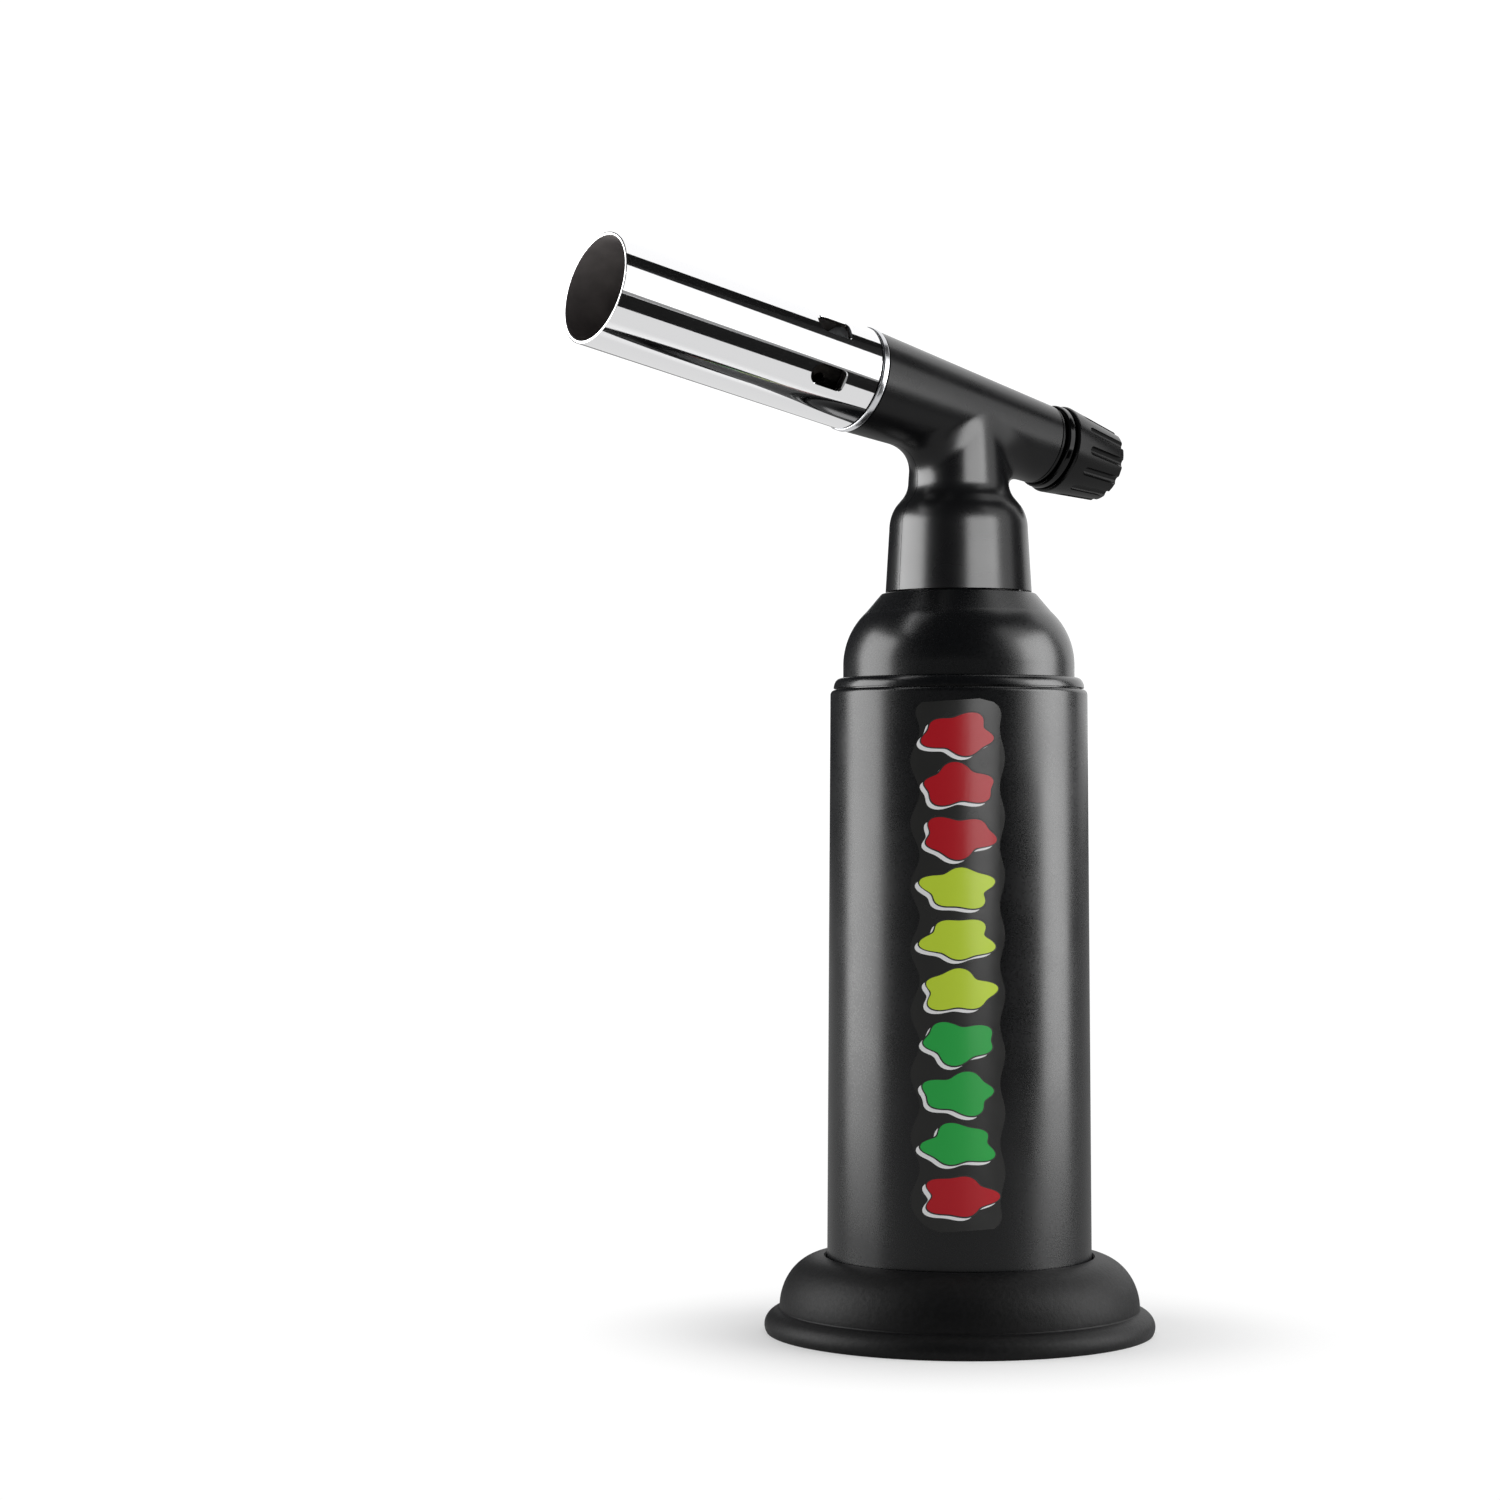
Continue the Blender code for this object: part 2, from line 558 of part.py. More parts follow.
def make_head_cavity(name, side, tank_axis, head_axis):
    """What is hollow inside the head: neck and barrel, less the ribs and the screw bosses left standing."""
    throat = [(0.0, SPIGOT_Z - OVERRUN), (10.7, SPIGOT_Z - OVERRUN), (10.7, NECK_FOOT_Z + 1.0)]
    cavity = turned(name + "_cavity", throat + neck_outline(SHELL_WALL), tank_axis, None, HEAD_STEPS - 8)
    bore_front = HEAD_FRONT_R - SHELL_WALL
    bore_back = HEAD_BACK_R - SHELL_WALL
    bore = [(0.0, HEAD_FRONT_S + OVERRUN), (bore_front, HEAD_FRONT_S + OVERRUN)]
    bore += [(bore_front, HEAD_FRONT_S - 2.0), (bore_back, HEAD_BACK_S + END_WALL)]
    bore += [(0.0, HEAD_BACK_S + END_WALL)]
    combine(cavity, turned(name + "_bore", bore, head_axis, None, HEAD_STEPS - 8), "UNION")
    for number, low in enumerate(RIB_PLACES, 1):
        rib = pipe(f"{name}_rib_{number}", HEAD_FRONT_R + 1.0, BLOCK_R + GAP, low, low + RIB_T, head_axis)
        if side < 0:
            notch = block(f"{name}_notch_{number}", (-1.6, -14.0, low - 1), (1.6, -4.0, low + 3), head_axis)
            combine(rib, notch)
        combine(cavity, rib)
    for number, (x, z) in enumerate(SCREW_PLACES, 1):
        across = axis_empty(f"{name}_boss_axis_{number}", (TANK_X + x, 0.0, z), (-math.pi / 2, 0.0, 0.0))
        combine(cavity, rod(f"{name}_boss_{number}", BOSS_R, -20.0, 20.0, across, None, 16))
    return cavity


def make_shell_screws():
    """The screws that pull the halves together, with their heads sunk in the right half."""
    for number, (x, z) in enumerate(SCREW_PLACES, 1):
        across = axis_empty(f"screw_axis_{number}", (TANK_X + x, 0.0, z), (-math.pi / 2, 0.0, 0.0))
        low = SCREW_SEAT + GAP
        top = low + SCREW_HEAD_T
        outline = [(0.0, top - 0.6), (0.7, top - 0.6), (0.7, top), (SCREW_HEAD_R - 0.3, top)]
        outline += [(SCREW_HEAD_R, top - 0.4), (SCREW_HEAD_R, low), (SCREW_SHANK_R, low)]
        outline += [(SCREW_SHANK_R, SCREW_TIP + 0.5), (0.0, SCREW_TIP)]
        turned(f"shell_screw_{number}", outline, across, steel(f"shell_screw_{number}_steel"), 14)


# ---------------------------------------------------------------- burner


def window_cutter(number, axis):
    """A slot through the sleeve's wall, round at its front end and square with soft corners at its back."""
    half, corner = WINDOW_WIDTH / 2, 0.8
    front_centre = WINDOW_BACK_S + WINDOW_LENGTH - half
    outline = [(point[0], point[1]) for point in arc((0.0, front_centre), (half, half), 0, 180, 8)]
    outline += arc((corner - half, WINDOW_BACK_S + corner), (corner, corner), 180, 270, 3)
    outline += arc((half - corner, WINDOW_BACK_S + corner), (corner, corner), 270, 360, 3)
    bm = bmesh.new()
    floor = bm.faces.new([bm.verts.new((6.0, side, along)) for side, along in outline])
    grown = bmesh.ops.extrude_face_region(bm, geom=[floor])
    lifted = [item for item in grown["geom"] if isinstance(item, bmesh.types.BMVert)]
    bmesh.ops.translate(bm, verts=lifted, vec=(8.0, 0.0, 0.0))
    cutter = place_mesh(bm, f"window_cutter_{number}", axis)
    turn = WINDOW_TURNS[number - 1]
    cutter.rotation_euler = (0.0, 0.0, math.radians(-turn))
    return cutter


def make_sleeve(axis):
    """The chromed burner sleeve, with air windows round its back end."""
    outside = [(SLEEVE_BACK_R, SLEEVE_BACK_S), (SLEEVE_FRONT_R, SLEEVE_FRONT_S)]
    inside = [(radius - SLEEVE_WALL, along) for radius, along in reversed(outside)]
    chrome = material("sleeve_chrome", (0.85, 0.85, 0.86), 0.06, 1.0)
    sleeve = turned("nozzle_sleeve", outside + inside, axis, chrome)
    for number in range(1, len(WINDOW_TURNS) + 1):
        combine(sleeve, window_cutter(number, axis))


def make_nozzle_ring(axis):
    edge = 0.25
    outline = [(RING_R - edge, RING_FRONT_S), (RING_R, RING_FRONT_S - edge), (RING_R, RING_BACK_S + edge)]
    outline += [(RING_R - edge, RING_BACK_S), (SOCKET_R + GAP, RING_BACK_S), (SOCKET_R + GAP, RING_FRONT_S)]
    turned("nozzle_ring", outline, axis, material("ring_aluminium", (0.8, 0.8, 0.81), 0.3, 1.0), HEAD_STEPS)


def electrode_hole(name, radius, low, high, axis):
    return rod(name, radius, low, high, axis, None, 12, (0.0, -ELECTRODE_RING_R, 0.0))


def make_nozzle_socket(axis):
    """The turned holder that the sleeve is pushed onto, clamped in the front of the shell."""
    front_r = SLEEVE_BACK_R - SLEEVE_WALL - GAP
    step_s = SLEEVE_BACK_S
    outline = [(SOCKET_BORE_R, SOCKET_FRONT_S), (front_r - 0.5, SOCKET_FRONT_S)]
    outline += [(front_r, SOCKET_FRONT_S - 0.5), (front_r, step_s), (SOCKET_R, step_s)]
    outline += [(SOCKET_R, SOCKET_BACK_S), (SOCKET_BORE_R, SOCKET_BACK_S)]
    socket = turned("nozzle_socket", outline, axis, steel("socket_zinc", 0.5), HEAD_STEPS)
    low, high = SOCKET_BACK_S - OVERRUN, SOCKET_FRONT_S + OVERRUN
    combine(socket, electrode_hole("socket_electrode_hole", INSULATOR_R + GAP, low, high, axis))


def make_burner(axis):
    """The mixing tube with its air holes, the plate with the flame jets, and the gas jet behind them."""
    tube = pipe("burner_tube", BURNER_TUBE_R, BURNER_TUBE_R - 0.8, BURNER_TUBE_BACK_S,
                BURNER_PLATE_BACK_S - GAP, axis, steel("burner_tube_steel", 0.5), 24)
    hole_s = WINDOW_BACK_S + 2.0
    for number in (1, 2):
        across = rod(f"air_hole_{number}", 1.3, -7.0, 7.0, axis, None, 12, (0.0, 0.0, hole_s))
        across.rotation_euler = (math.pi / 2, 0.0, math.radians(45 + 90 * number))
        combine(tube, across)
    plate = rod("burner_plate", BURNER_PLATE_R, BURNER_PLATE_BACK_S, BURNER_PLATE_FRONT_S, axis,
                steel("burner_plate_steel", 0.55), HEAD_STEPS)
    low, high = BURNER_PLATE_BACK_S - OVERRUN, BURNER_PLATE_FRONT_S + OVERRUN
    combine(plate, rod("centre_jet_hole", 1.1, low, high, axis, None, 12))
    for number in range(JET_COUNT):
        angle = math.tau * number / JET_COUNT
        place = (JET_RING_R * math.cos(angle), JET_RING_R * math.sin(angle), 0.0)
        combine(plate, rod(f"jet_hole_{number + 1}", 0.65, low, high, axis, None, 10, place))
    combine(plate, electrode_hole("plate_electrode_hole", INSULATOR_R + GAP, low, high, axis))
    tip = GAS_JET_FRONT_S
    jet = [(0.35, tip), (1.1, tip), (1.3, tip - 2.8), (2.4, tip - 3.0), (2.4, BLOCK_FRONT_S + GAP)]
    jet += [(0.9, BLOCK_FRONT_S + GAP), (0.9, tip - 1.5), (0.35, tip - 1.3)]
    turned("gas_jet", jet, axis, brass("gas_jet_brass"), 16)


def make_electrode(axis):
    """The spark electrode in its ceramic tube, which runs beside the burner tube and through the plate."""
    ceramic = material("electrode_ceramic", (0.85, 0.83, 0.78), 0.35)
    insulator = pipe("electrode_insulator", INSULATOR_R, ELECTRODE_WIRE_R + 0.2,
                     INSULATOR_BACK_S, INSULATOR_FRONT_S, axis, ceramic, 12)
    insulator.location = Vector((0.0, -ELECTRODE_RING_R, 0.0)) * MM
    ring, front = ELECTRODE_RING_R, INSULATOR_FRONT_S
    route = [(0.0, -ring, INSULATOR_BACK_S + 0.4), (0.0, -ring, front), (0.0, -ring + 0.3, front + 1.2)]
    route += [(0.0, -ring + 1.4, front + 2.2), (0.0, -ring + 3.0, front + 2.5)]
    wire("electrode", route, ELECTRODE_WIRE_R, axis, steel("electrode_steel"))


# ---------------------------------------------------------------- gas valve and knob


def make_valve(axis, tank_axis):
    """The brass block that the feed tube enters, with the needle that shuts the way to the gas jet."""
    outline = [(0.8, BLOCK_FRONT_S), (BLOCK_R - 0.5, BLOCK_FRONT_S), (BLOCK_R, BLOCK_FRONT_S - 0.5)]
    outline += [(BLOCK_R, BLOCK_BACK_S), (2.6, BLOCK_BACK_S), (2.6, -6.0)]
    outline += [(1.5, -6.0), (1.5, 1.0), (0.8, 1.2)]
    body = turned("valve_block", outline, axis, brass("valve_block_brass"), 24)
    combine(body, rod("feed_port", FEED_TUBE_R + GAP, HEAD_Z - 8.0, HEAD_Z - 1.0, tank_axis, None, 16))
    needle = [(0.0, 0.9), (0.2, 0.9), (NEEDLE_R, -2.0), (NEEDLE_R, NEEDLE_BACK_S)]
    needle += [(0.7, NEEDLE_BACK_S), (0.7, NEEDLE_THREAD_S), (0.0, NEEDLE_THREAD_S)]
    turned("valve_needle", needle, axis, steel("needle_steel"), 16)
    seal_skin = material("valve_seal_rubber", (0.03, 0.03, 0.03), 0.7)
    o_ring("valve_o_ring", 1.65, 0.7, -6.7, axis, seal_skin)
    gland = [(1.3, -7.6), (2.3, -7.6), (2.3, BLOCK_BACK_S - GAP), (BLOCK_R, BLOCK_BACK_S - GAP)]
    gland += [(BLOCK_R, -17.5), (3.0, -17.5), (3.0, GLAND_BACK_S), (NEEDLE_R + GAP, GLAND_BACK_S)]
    turned("valve_gland", gland, axis, brass("gland_brass"), NARROW_STEPS)


def make_knob_band(axis):
    """The glossy ring between the shell and the knob."""
    edge = 0.4
    outline = [(BAND_R - edge, BAND_FRONT_S), (BAND_R, BAND_FRONT_S - edge), (BAND_R, BAND_BACK_S + edge)]
    outline += [(BAND_R - edge, BAND_BACK_S), (3.4, BAND_BACK_S), (3.4, BAND_FRONT_S)]
    turned("knob_band", outline, axis, material("band_gloss_black", (0.01, 0.01, 0.01), 0.12), HEAD_STEPS)


def make_knob(axis):
    """A slightly tapered knob, fluted over its back two thirds, with a hub on the needle's end."""
    hub_bore = NEEDLE_R + GAP
    outline = [(KNOB_FRONT_R - 0.6, KNOB_FRONT_S), (KNOB_FRONT_R, KNOB_FRONT_S - 0.6)]
    outline += [(KNOB_BACK_R + 0.1, KNOB_BACK_S + 0.5), (KNOB_BACK_R - 0.4, KNOB_BACK_S)]
    outline += [(KNOB_SCREW_R + 0.4, KNOB_BACK_S)]
    outline += [(KNOB_SCREW_R + 0.4, KNOB_SEAT_S), (hub_bore, KNOB_SEAT_S), (hub_bore, KNOB_HUB_S)]
    outline += [(3.4, KNOB_HUB_S), (3.4, KNOB_WEB_S), (7.0, KNOB_WEB_S), (7.0, KNOB_FRONT_S)]
    knob = turned("flow_knob", outline, axis, material("knob_black", (0.02, 0.02, 0.02), 0.35), HEAD_STEPS)
    slope = math.atan2(KNOB_FRONT_R - KNOB_BACK_R, KNOB_FRONT_S - KNOB_BACK_S)
    for number in range(FLUTE_COUNT):
        combine(knob, flute_cutter(number, slope, axis))
    seat, top = KNOB_SEAT_S - GAP, KNOB_SEAT_S - 1.6
    screw = [(0.0, top + 0.5), (0.5, top + 0.5), (0.5, top), (KNOB_SCREW_R - 0.3, top)]
    screw += [(KNOB_SCREW_R, top + 0.3), (KNOB_SCREW_R, seat), (0.4, seat)]
    screw += [(0.4, NEEDLE_THREAD_S - 1.0), (0.0, NEEDLE_THREAD_S - 1.0)]
    turned("knob_screw", screw, axis, steel("knob_screw_steel"), 16)


def flute_cutter(number, slope, axis):
    """A round-ended groove along the knob, which runs out through its back edge."""
    half = FLUTE_WIDTH / 2
    outline = [(0.0, 0.0)] + arc((0.0, -half), (half, half), 60, 0, 2)
    outline += [(half, -14.0), (0.0, -14.0)]
    cutter = turned(f"flute_cutter_{number + 1}", outline, axis, None, 8)
    angle = math.tau * number / FLUTE_COUNT
    share = (KNOB_FRONT_S - FLUTE_FRONT_S) / (KNOB_FRONT_S - KNOB_BACK_S)
    radius = KNOB_FRONT_R + (KNOB_BACK_R - KNOB_FRONT_R) * share + 0.25
    cutter.location = Vector((radius * math.cos(angle), radius * math.sin(angle), FLUTE_FRONT_S)) * MM
    cutter.rotation_euler = (0.0, slope, angle)
    return cutter


# ---------------------------------------------------------------- igniter


def make_igniter(axis):
    """A push button in the right side of the neck, on a spring-loaded piezo unit laid across the neck."""
    button = [(0.0, BUTTON_TOP), (BUTTON_R - 0.9, BUTTON_TOP), (BUTTON_R, BUTTON_TOP - 0.9)]
    button += [(BUTTON_R, BUTTON_FLANGE_BASE + 1.0), (BUTTON_FLANGE_R, BUTTON_FLANGE_BASE + 1.0)]
    button += [(BUTTON_FLANGE_R, BUTTON_FLANGE_BASE), (0.0, BUTTON_FLANGE_BASE)]
    turned("igniter_button", button, axis, material("button_black", (0.02, 0.02, 0.02), 0.3), 24)
    plunger_skin = material("plunger_nylon", (0.8, 0.8, 0.78), 0.5)
    rod("piezo_plunger", PLUNGER_R, PLUNGER_END, BUTTON_FLANGE_BASE - GAP, axis, plunger_skin, 16)
    half = PIEZO_SIDE / 2
    skin = material("piezo_case", (0.35, 0.06, 0.05), 0.45)
    body = block("piezo_body", (-half, -half, PIEZO_BACK), (half, half, PIEZO_MOUTH), axis, skin)
    combine(body, rod("piezo_bore", PIEZO_BORE_R, PIEZO_BORE_FLOOR, PIEZO_MOUTH + OVERRUN, axis, None, 16))
    coil("piezo_spring", 1.8, 0.3, PIEZO_BORE_FLOOR + 0.25, PLUNGER_END - 0.25, 4, axis,
         steel("piezo_spring_steel"))


def make_ignition_lead(axis):
    """The insulated lead from the piezo unit, up the neck and beside the valve block to the electrode."""
    knots = [(IGNITER_X, -6.0, IGNITER_Z + PIEZO_SIDE / 2 + GAP), (5.0, -5.8, 165.0), (4.0, -4.4, 170.5)]
    knots += [(3.2, -4.6, 176.0), head_point(0.0, -6.1, 1.0), head_point(0.0, -6.1, 9.0)]
    knots += [head_point(0.0, -6.6, 14.5), head_point(0.0, -ELECTRODE_RING_R, INSULATOR_BACK_S - GAP)]
    skin = material("lead_silicone", (0.5, 0.03, 0.03), 0.5)
    wire("ignition_lead", smooth_route(knots, 4), 0.6, axis, skin)


def main():
    for old in list(bpy.data.objects):
        bpy.data.objects.remove(old, do_unlink=True)
    tank_axis = axis_empty("tank_axis", (TANK_X, 0.0, 0.0))
    head_axis = axis_empty("head_axis", (TANK_X, 0.0, HEAD_Z), (0.0, HEAD_TILT - math.pi / 2, 0.0))
    igniter_place = (TANK_X + IGNITER_X, 0.0, IGNITER_Z)
    igniter_axis = axis_empty("igniter_axis", igniter_place, (-math.pi / 2, 0.0, 0.0))
    make_foot(tank_axis)
    make_casing(tank_axis)
    make_casing_collar(tank_axis)
    make_shoulder(tank_axis)
    make_fuel_tank(tank_axis)
    make_tank_base(tank_axis)
    make_refill_valve(tank_axis)
    make_outlet(tank_axis)
    make_label(tank_axis)
    for side in (-1, 1):
        make_head_shell(side, tank_axis, head_axis)
    make_shell_screws()
    make_sleeve(head_axis)
    make_nozzle_ring(head_axis)
    make_nozzle_socket(head_axis)
    make_burner(head_axis)
    make_electrode(head_axis)
    make_valve(head_axis, tank_axis)
    make_knob_band(head_axis)
    make_knob(head_axis)
    make_igniter(igniter_axis)
    make_ignition_lead(tank_axis)


main()
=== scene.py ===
import json
import math

import bmesh
import bpy
import numpy as np
from bpy.props import FloatProperty, FloatVectorProperty, IntProperty, PointerProperty
from mathutils import Matrix, Vector


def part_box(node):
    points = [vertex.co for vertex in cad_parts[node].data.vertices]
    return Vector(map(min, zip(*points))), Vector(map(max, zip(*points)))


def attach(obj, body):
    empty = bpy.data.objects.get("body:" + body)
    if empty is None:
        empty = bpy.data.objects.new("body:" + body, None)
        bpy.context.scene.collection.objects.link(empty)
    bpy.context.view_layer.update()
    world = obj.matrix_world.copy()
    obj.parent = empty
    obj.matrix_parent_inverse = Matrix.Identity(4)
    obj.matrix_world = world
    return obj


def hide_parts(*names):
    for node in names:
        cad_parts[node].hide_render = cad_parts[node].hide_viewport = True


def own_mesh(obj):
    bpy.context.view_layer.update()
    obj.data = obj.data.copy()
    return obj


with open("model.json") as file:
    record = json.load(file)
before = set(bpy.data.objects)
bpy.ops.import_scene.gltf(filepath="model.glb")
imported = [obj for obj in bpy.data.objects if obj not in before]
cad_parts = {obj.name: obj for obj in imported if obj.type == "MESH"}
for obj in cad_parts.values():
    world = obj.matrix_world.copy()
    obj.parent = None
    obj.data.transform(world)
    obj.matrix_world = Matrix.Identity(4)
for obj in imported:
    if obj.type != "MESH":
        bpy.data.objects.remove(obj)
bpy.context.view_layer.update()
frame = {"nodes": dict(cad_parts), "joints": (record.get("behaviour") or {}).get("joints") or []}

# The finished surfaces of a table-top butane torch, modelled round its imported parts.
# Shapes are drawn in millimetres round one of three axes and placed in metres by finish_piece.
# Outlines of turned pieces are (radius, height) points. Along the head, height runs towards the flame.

bl_info = {
    "name": "Butane torch",
    "version": (1, 0, 0),
    "blender": (4, 5, 0),
    "location": "3D View > Sidebar > Torch",
    "description": "Models and finishes a table-top butane torch round its packed parts",
    "category": "Add Mesh",
}

MM = 0.001

# Axes: heights run up the tank, forward along the head, and out through the igniter's button.
KNOB_JOINT = next(joint for joint in frame["joints"] if joint["name"] == "flow_knob_turn")
FORWARD = -Vector(KNOB_JOINT["axis"]).normalized()
HEAD_PLACE = Vector(KNOB_JOINT["pos_m"])
TILT = math.atan2(FORWARD.z, -FORWARD.x)
TANK = Matrix.Translation((HEAD_PLACE.x, 0.0, 0.0))
HEAD = Matrix.Translation(HEAD_PLACE) @ Matrix.Rotation(TILT - math.pi / 2, 4, "Y")

FIT = 0.3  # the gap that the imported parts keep
FADE_START, FADE_END = 178.0, 187.0  # heights between which the blend of neck and barrel dies away
FINE = 144  # sides of a large turned piece
MEDIUM = 72  # sides of a small one


def box_centre(node):
    low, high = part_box(node)
    return (low + high) / 2


def sideways(node):
    """An axis through the middle of a CAD node, with its heights running out to the right side."""
    centre = box_centre(node)
    return Matrix.Translation((centre.x, 0.0, centre.z)) @ Matrix.Rotation(-math.pi / 2, 4, "X")


def span(node, place, low=-1e6, high=1e6):
    """Lowest height, highest height and greatest radius of a CAD node round an axis, in millimetres."""
    inverse = place.inverted()
    points = [(inverse @ vertex.co) / MM for vertex in frame["nodes"][node].data.vertices]
    points = [point for point in points if low <= point.z <= high]
    heights = [point.z for point in points]
    return min(heights), max(heights), max(math.hypot(point.x, point.y) for point in points)


# ---------------------------------------------------------------- colours and materials


def linear(hex_colour):
    """An sRGB hex colour as linear red, green and blue."""
    channels = [int(hex_colour[start:start + 2], 16) / 255 for start in (1, 3, 5)]
    return tuple(c / 12.92 if c <= 0.04045 else ((c + 0.055) / 1.055) ** 2.4 for c in channels)


def add_node(tree, kind, inputs=None, **settings):
    """A shader node with its settings, and its inputs given as values or as sockets to link."""
    node = tree.nodes.new("ShaderNode" + kind)
    for name, value in settings.items():
        setattr(node, name, value)
    for name, value in (inputs or {}).items():
        if isinstance(value, bpy.types.NodeSocket):
            tree.links.new(value, node.inputs[name])
        else:
            node.inputs[name].default_value = value
    return node


def surface(name, colour, roughness, metallic=0.0, **sockets):
    """A Principled material, made once: returns the material, its tree, its shader and its coordinates."""
    made = bpy.data.materials.new(name)
    made.use_nodes = True
    tree = made.node_tree
    shader = tree.nodes["Principled BSDF"]
    shader.inputs["Base Color"].default_value = (*colour, 1.0)
    shader.inputs["Roughness"].default_value = roughness
    shader.inputs["Metallic"].default_value = metallic
    for key, value in sockets.items():
        shader.inputs[key.replace("_", " ")].default_value = value
    coordinates = add_node(tree, "TexCoord").outputs["Object"]
    return made, tree, shader, coordinates


def speckle(tree, coordinates, grain_mm, detail=2.0):
    """Noise whose grains are that many millimetres across."""
    return add_node(
        tree, "TexNoise", {"Vector": coordinates, "Scale": 1 / (grain_mm * MM), "Detail": detail}
    ).outputs["Fac"]


def spread(tree, value, low, high):
    """A value of 0 to 1 spread between two others."""
    return add_node(tree, "MapRange", {"Value": value, "To Min": low, "To Max": high}).outputs["Result"]


def two_tones(tree, value, first, second, start=0.3, end=0.7):
    ramp = add_node(tree, "ValToRGB", {"Fac": value})
    ramp.color_ramp.elements[0].position = start
    ramp.color_ramp.elements[1].position = end
    ramp.color_ramp.elements[0].color = (*first, 1.0)
    ramp.color_ramp.elements[1].color = (*second, 1.0)
    return ramp.outputs["Color"]


def emboss(tree, shader, height, depth_mm, strength=1.0):
    bump = add_node(tree, "Bump", {"Height": height, "Distance": depth_mm * MM, "Strength": strength})
    tree.links.new(bump.outputs["Normal"], shader.inputs["Normal"])


def dimmed(colour, share):
    return tuple(channel * share for channel in colour)


def grained_rubber(name, colour, grain_mm, depth_mm):
    """Moulded rubber with a leather-like tool grain, which breaks its dull sheen into fine pebbles."""
    made, tree, shader, coordinates = surface(name, colour, 0.5, Specular_IOR_Level=0.3)
    cells = add_node(
        tree, "TexVoronoi", {"Vector": coordinates, "Scale": 1 / (grain_mm * MM)}, feature="SMOOTH_F1"
    ).outputs["Distance"]
    fine = speckle(tree, coordinates, grain_mm / 3, 3.0)
    height = add_node(tree, "Math", {0: cells, 1: fine}, operation="ADD").outputs["Value"]
    emboss(tree, shader, height, depth_mm, 0.7)
    tree.links.new(spread(tree, fine, 0.42, 0.66), shader.inputs["Roughness"])
    tree.links.new(
        two_tones(tree, cells, dimmed(colour, 0.6), dimmed(colour, 1.5)), shader.inputs["Base Color"]
    )
    return made


def matte_lacquer(name, colour, roughness):
    """Sprayed matte lacquer on metal: its flatting agent shows as a fine sparkle in the highlights."""
    made, tree, shader, coordinates = surface(name, colour, roughness, Specular_IOR_Level=0.75)
    flatting = speckle(tree, coordinates, 0.45, 4.0)  # real grains are finer, drawn as coarse as they show
    drift = speckle(tree, coordinates, 14.0)
    emboss(tree, shader, flatting, 0.012, 0.05)
    both = add_node(tree, "Math", {0: flatting, 1: drift}, operation="MULTIPLY").outputs["Value"]
    tree.links.new(spread(tree, both, roughness - 0.08, roughness + 0.2), shader.inputs["Roughness"])
    tree.links.new(
        two_tones(tree, flatting, dimmed(colour, 0.7), dimmed(colour, 1.6)), shader.inputs["Base Color"]
    )
    return made


def moulded_plastic(name, colour, roughness, grain_mm=0.4, depth_mm=0.006):
    """Moulded ABS or nylon: the mould's fine spark-eroded skin softens a satin highlight."""
    made, tree, shader, coordinates = surface(name, colour, roughness, Specular_IOR_Level=0.6)
    skin = speckle(tree, coordinates, grain_mm, 3.0)
    emboss(tree, shader, skin, depth_mm, 0.4)
    flow = speckle(tree, coordinates, 9.0)
    tree.links.new(spread(tree, flow, roughness - 0.05, roughness + 0.07), shader.inputs["Roughness"])
    tree.links.new(
        two_tones(tree, skin, dimmed(colour, 0.85), dimmed(colour, 1.2)), shader.inputs["Base Color"]
    )
    return made


def chrome_plate(name, colour):
    """Bright chrome over polished steel: a mirror, with the faintest haze from handling."""
    made, tree, shader, coordinates = surface(name, colour, 0.04, 1.0)
    haze = speckle(tree, coordinates, 6.0, 4.0)
    tree.links.new(spread(tree, haze, 0.02, 0.07), shader.inputs["Roughness"])
    return made


def turned_metal(name, colour, roughness, place=None, pitch_mm=0.7, depth_mm=0.004):
    """Metal turned on a lathe: fine rings round the piece's own axis catch the light."""
    made, tree, shader, coordinates = surface(name, colour, roughness, 1.0)
    if place is not None:
        turn = place.inverted()
        mapping = add_node(tree, "Mapping", {"Vector": coordinates}, vector_type="POINT")
        mapping.inputs["Location"].default_value = turn.translation
        mapping.inputs["Rotation"].default_value = turn.to_euler()
        coordinates = mapping.outputs["Vector"]
    scale = math.pi / 10 / (pitch_mm * MM)  # a wave texture's bands repeat every tenth of pi
    rings = add_node(
        tree, "TexWave", {"Vector": coordinates, "Scale": scale, "Distortion": 1.2, "Detail": 2.0},
        bands_direction="Z",
    ).outputs["Fac"]
    emboss(tree, shader, rings, depth_mm, 0.5)
    stain = speckle(tree, coordinates, 3.0, 3.0)
    tree.links.new(spread(tree, stain, roughness - 0.06, roughness + 0.1), shader.inputs["Roughness"])
    tree.links.new(two_tones(tree, stain, dimmed(colour, 0.82), colour), shader.inputs["Base Color"])
    return made


def heated_steel(name, colour, tint):
    """Burner steel that the flame has browned and blued in patches."""
    made, tree, shader, coordinates = surface(name, colour, 0.45, 1.0)
    patches = speckle(tree, coordinates, 4.0, 5.0)
    tree.links.new(two_tones(tree, patches, colour, tint), shader.inputs["Base Color"])
    tree.links.new(spread(tree, patches, 0.35, 0.6), shader.inputs["Roughness"])
    emboss(tree, shader, speckle(tree, coordinates, 0.5), 0.01, 0.5)
    return made


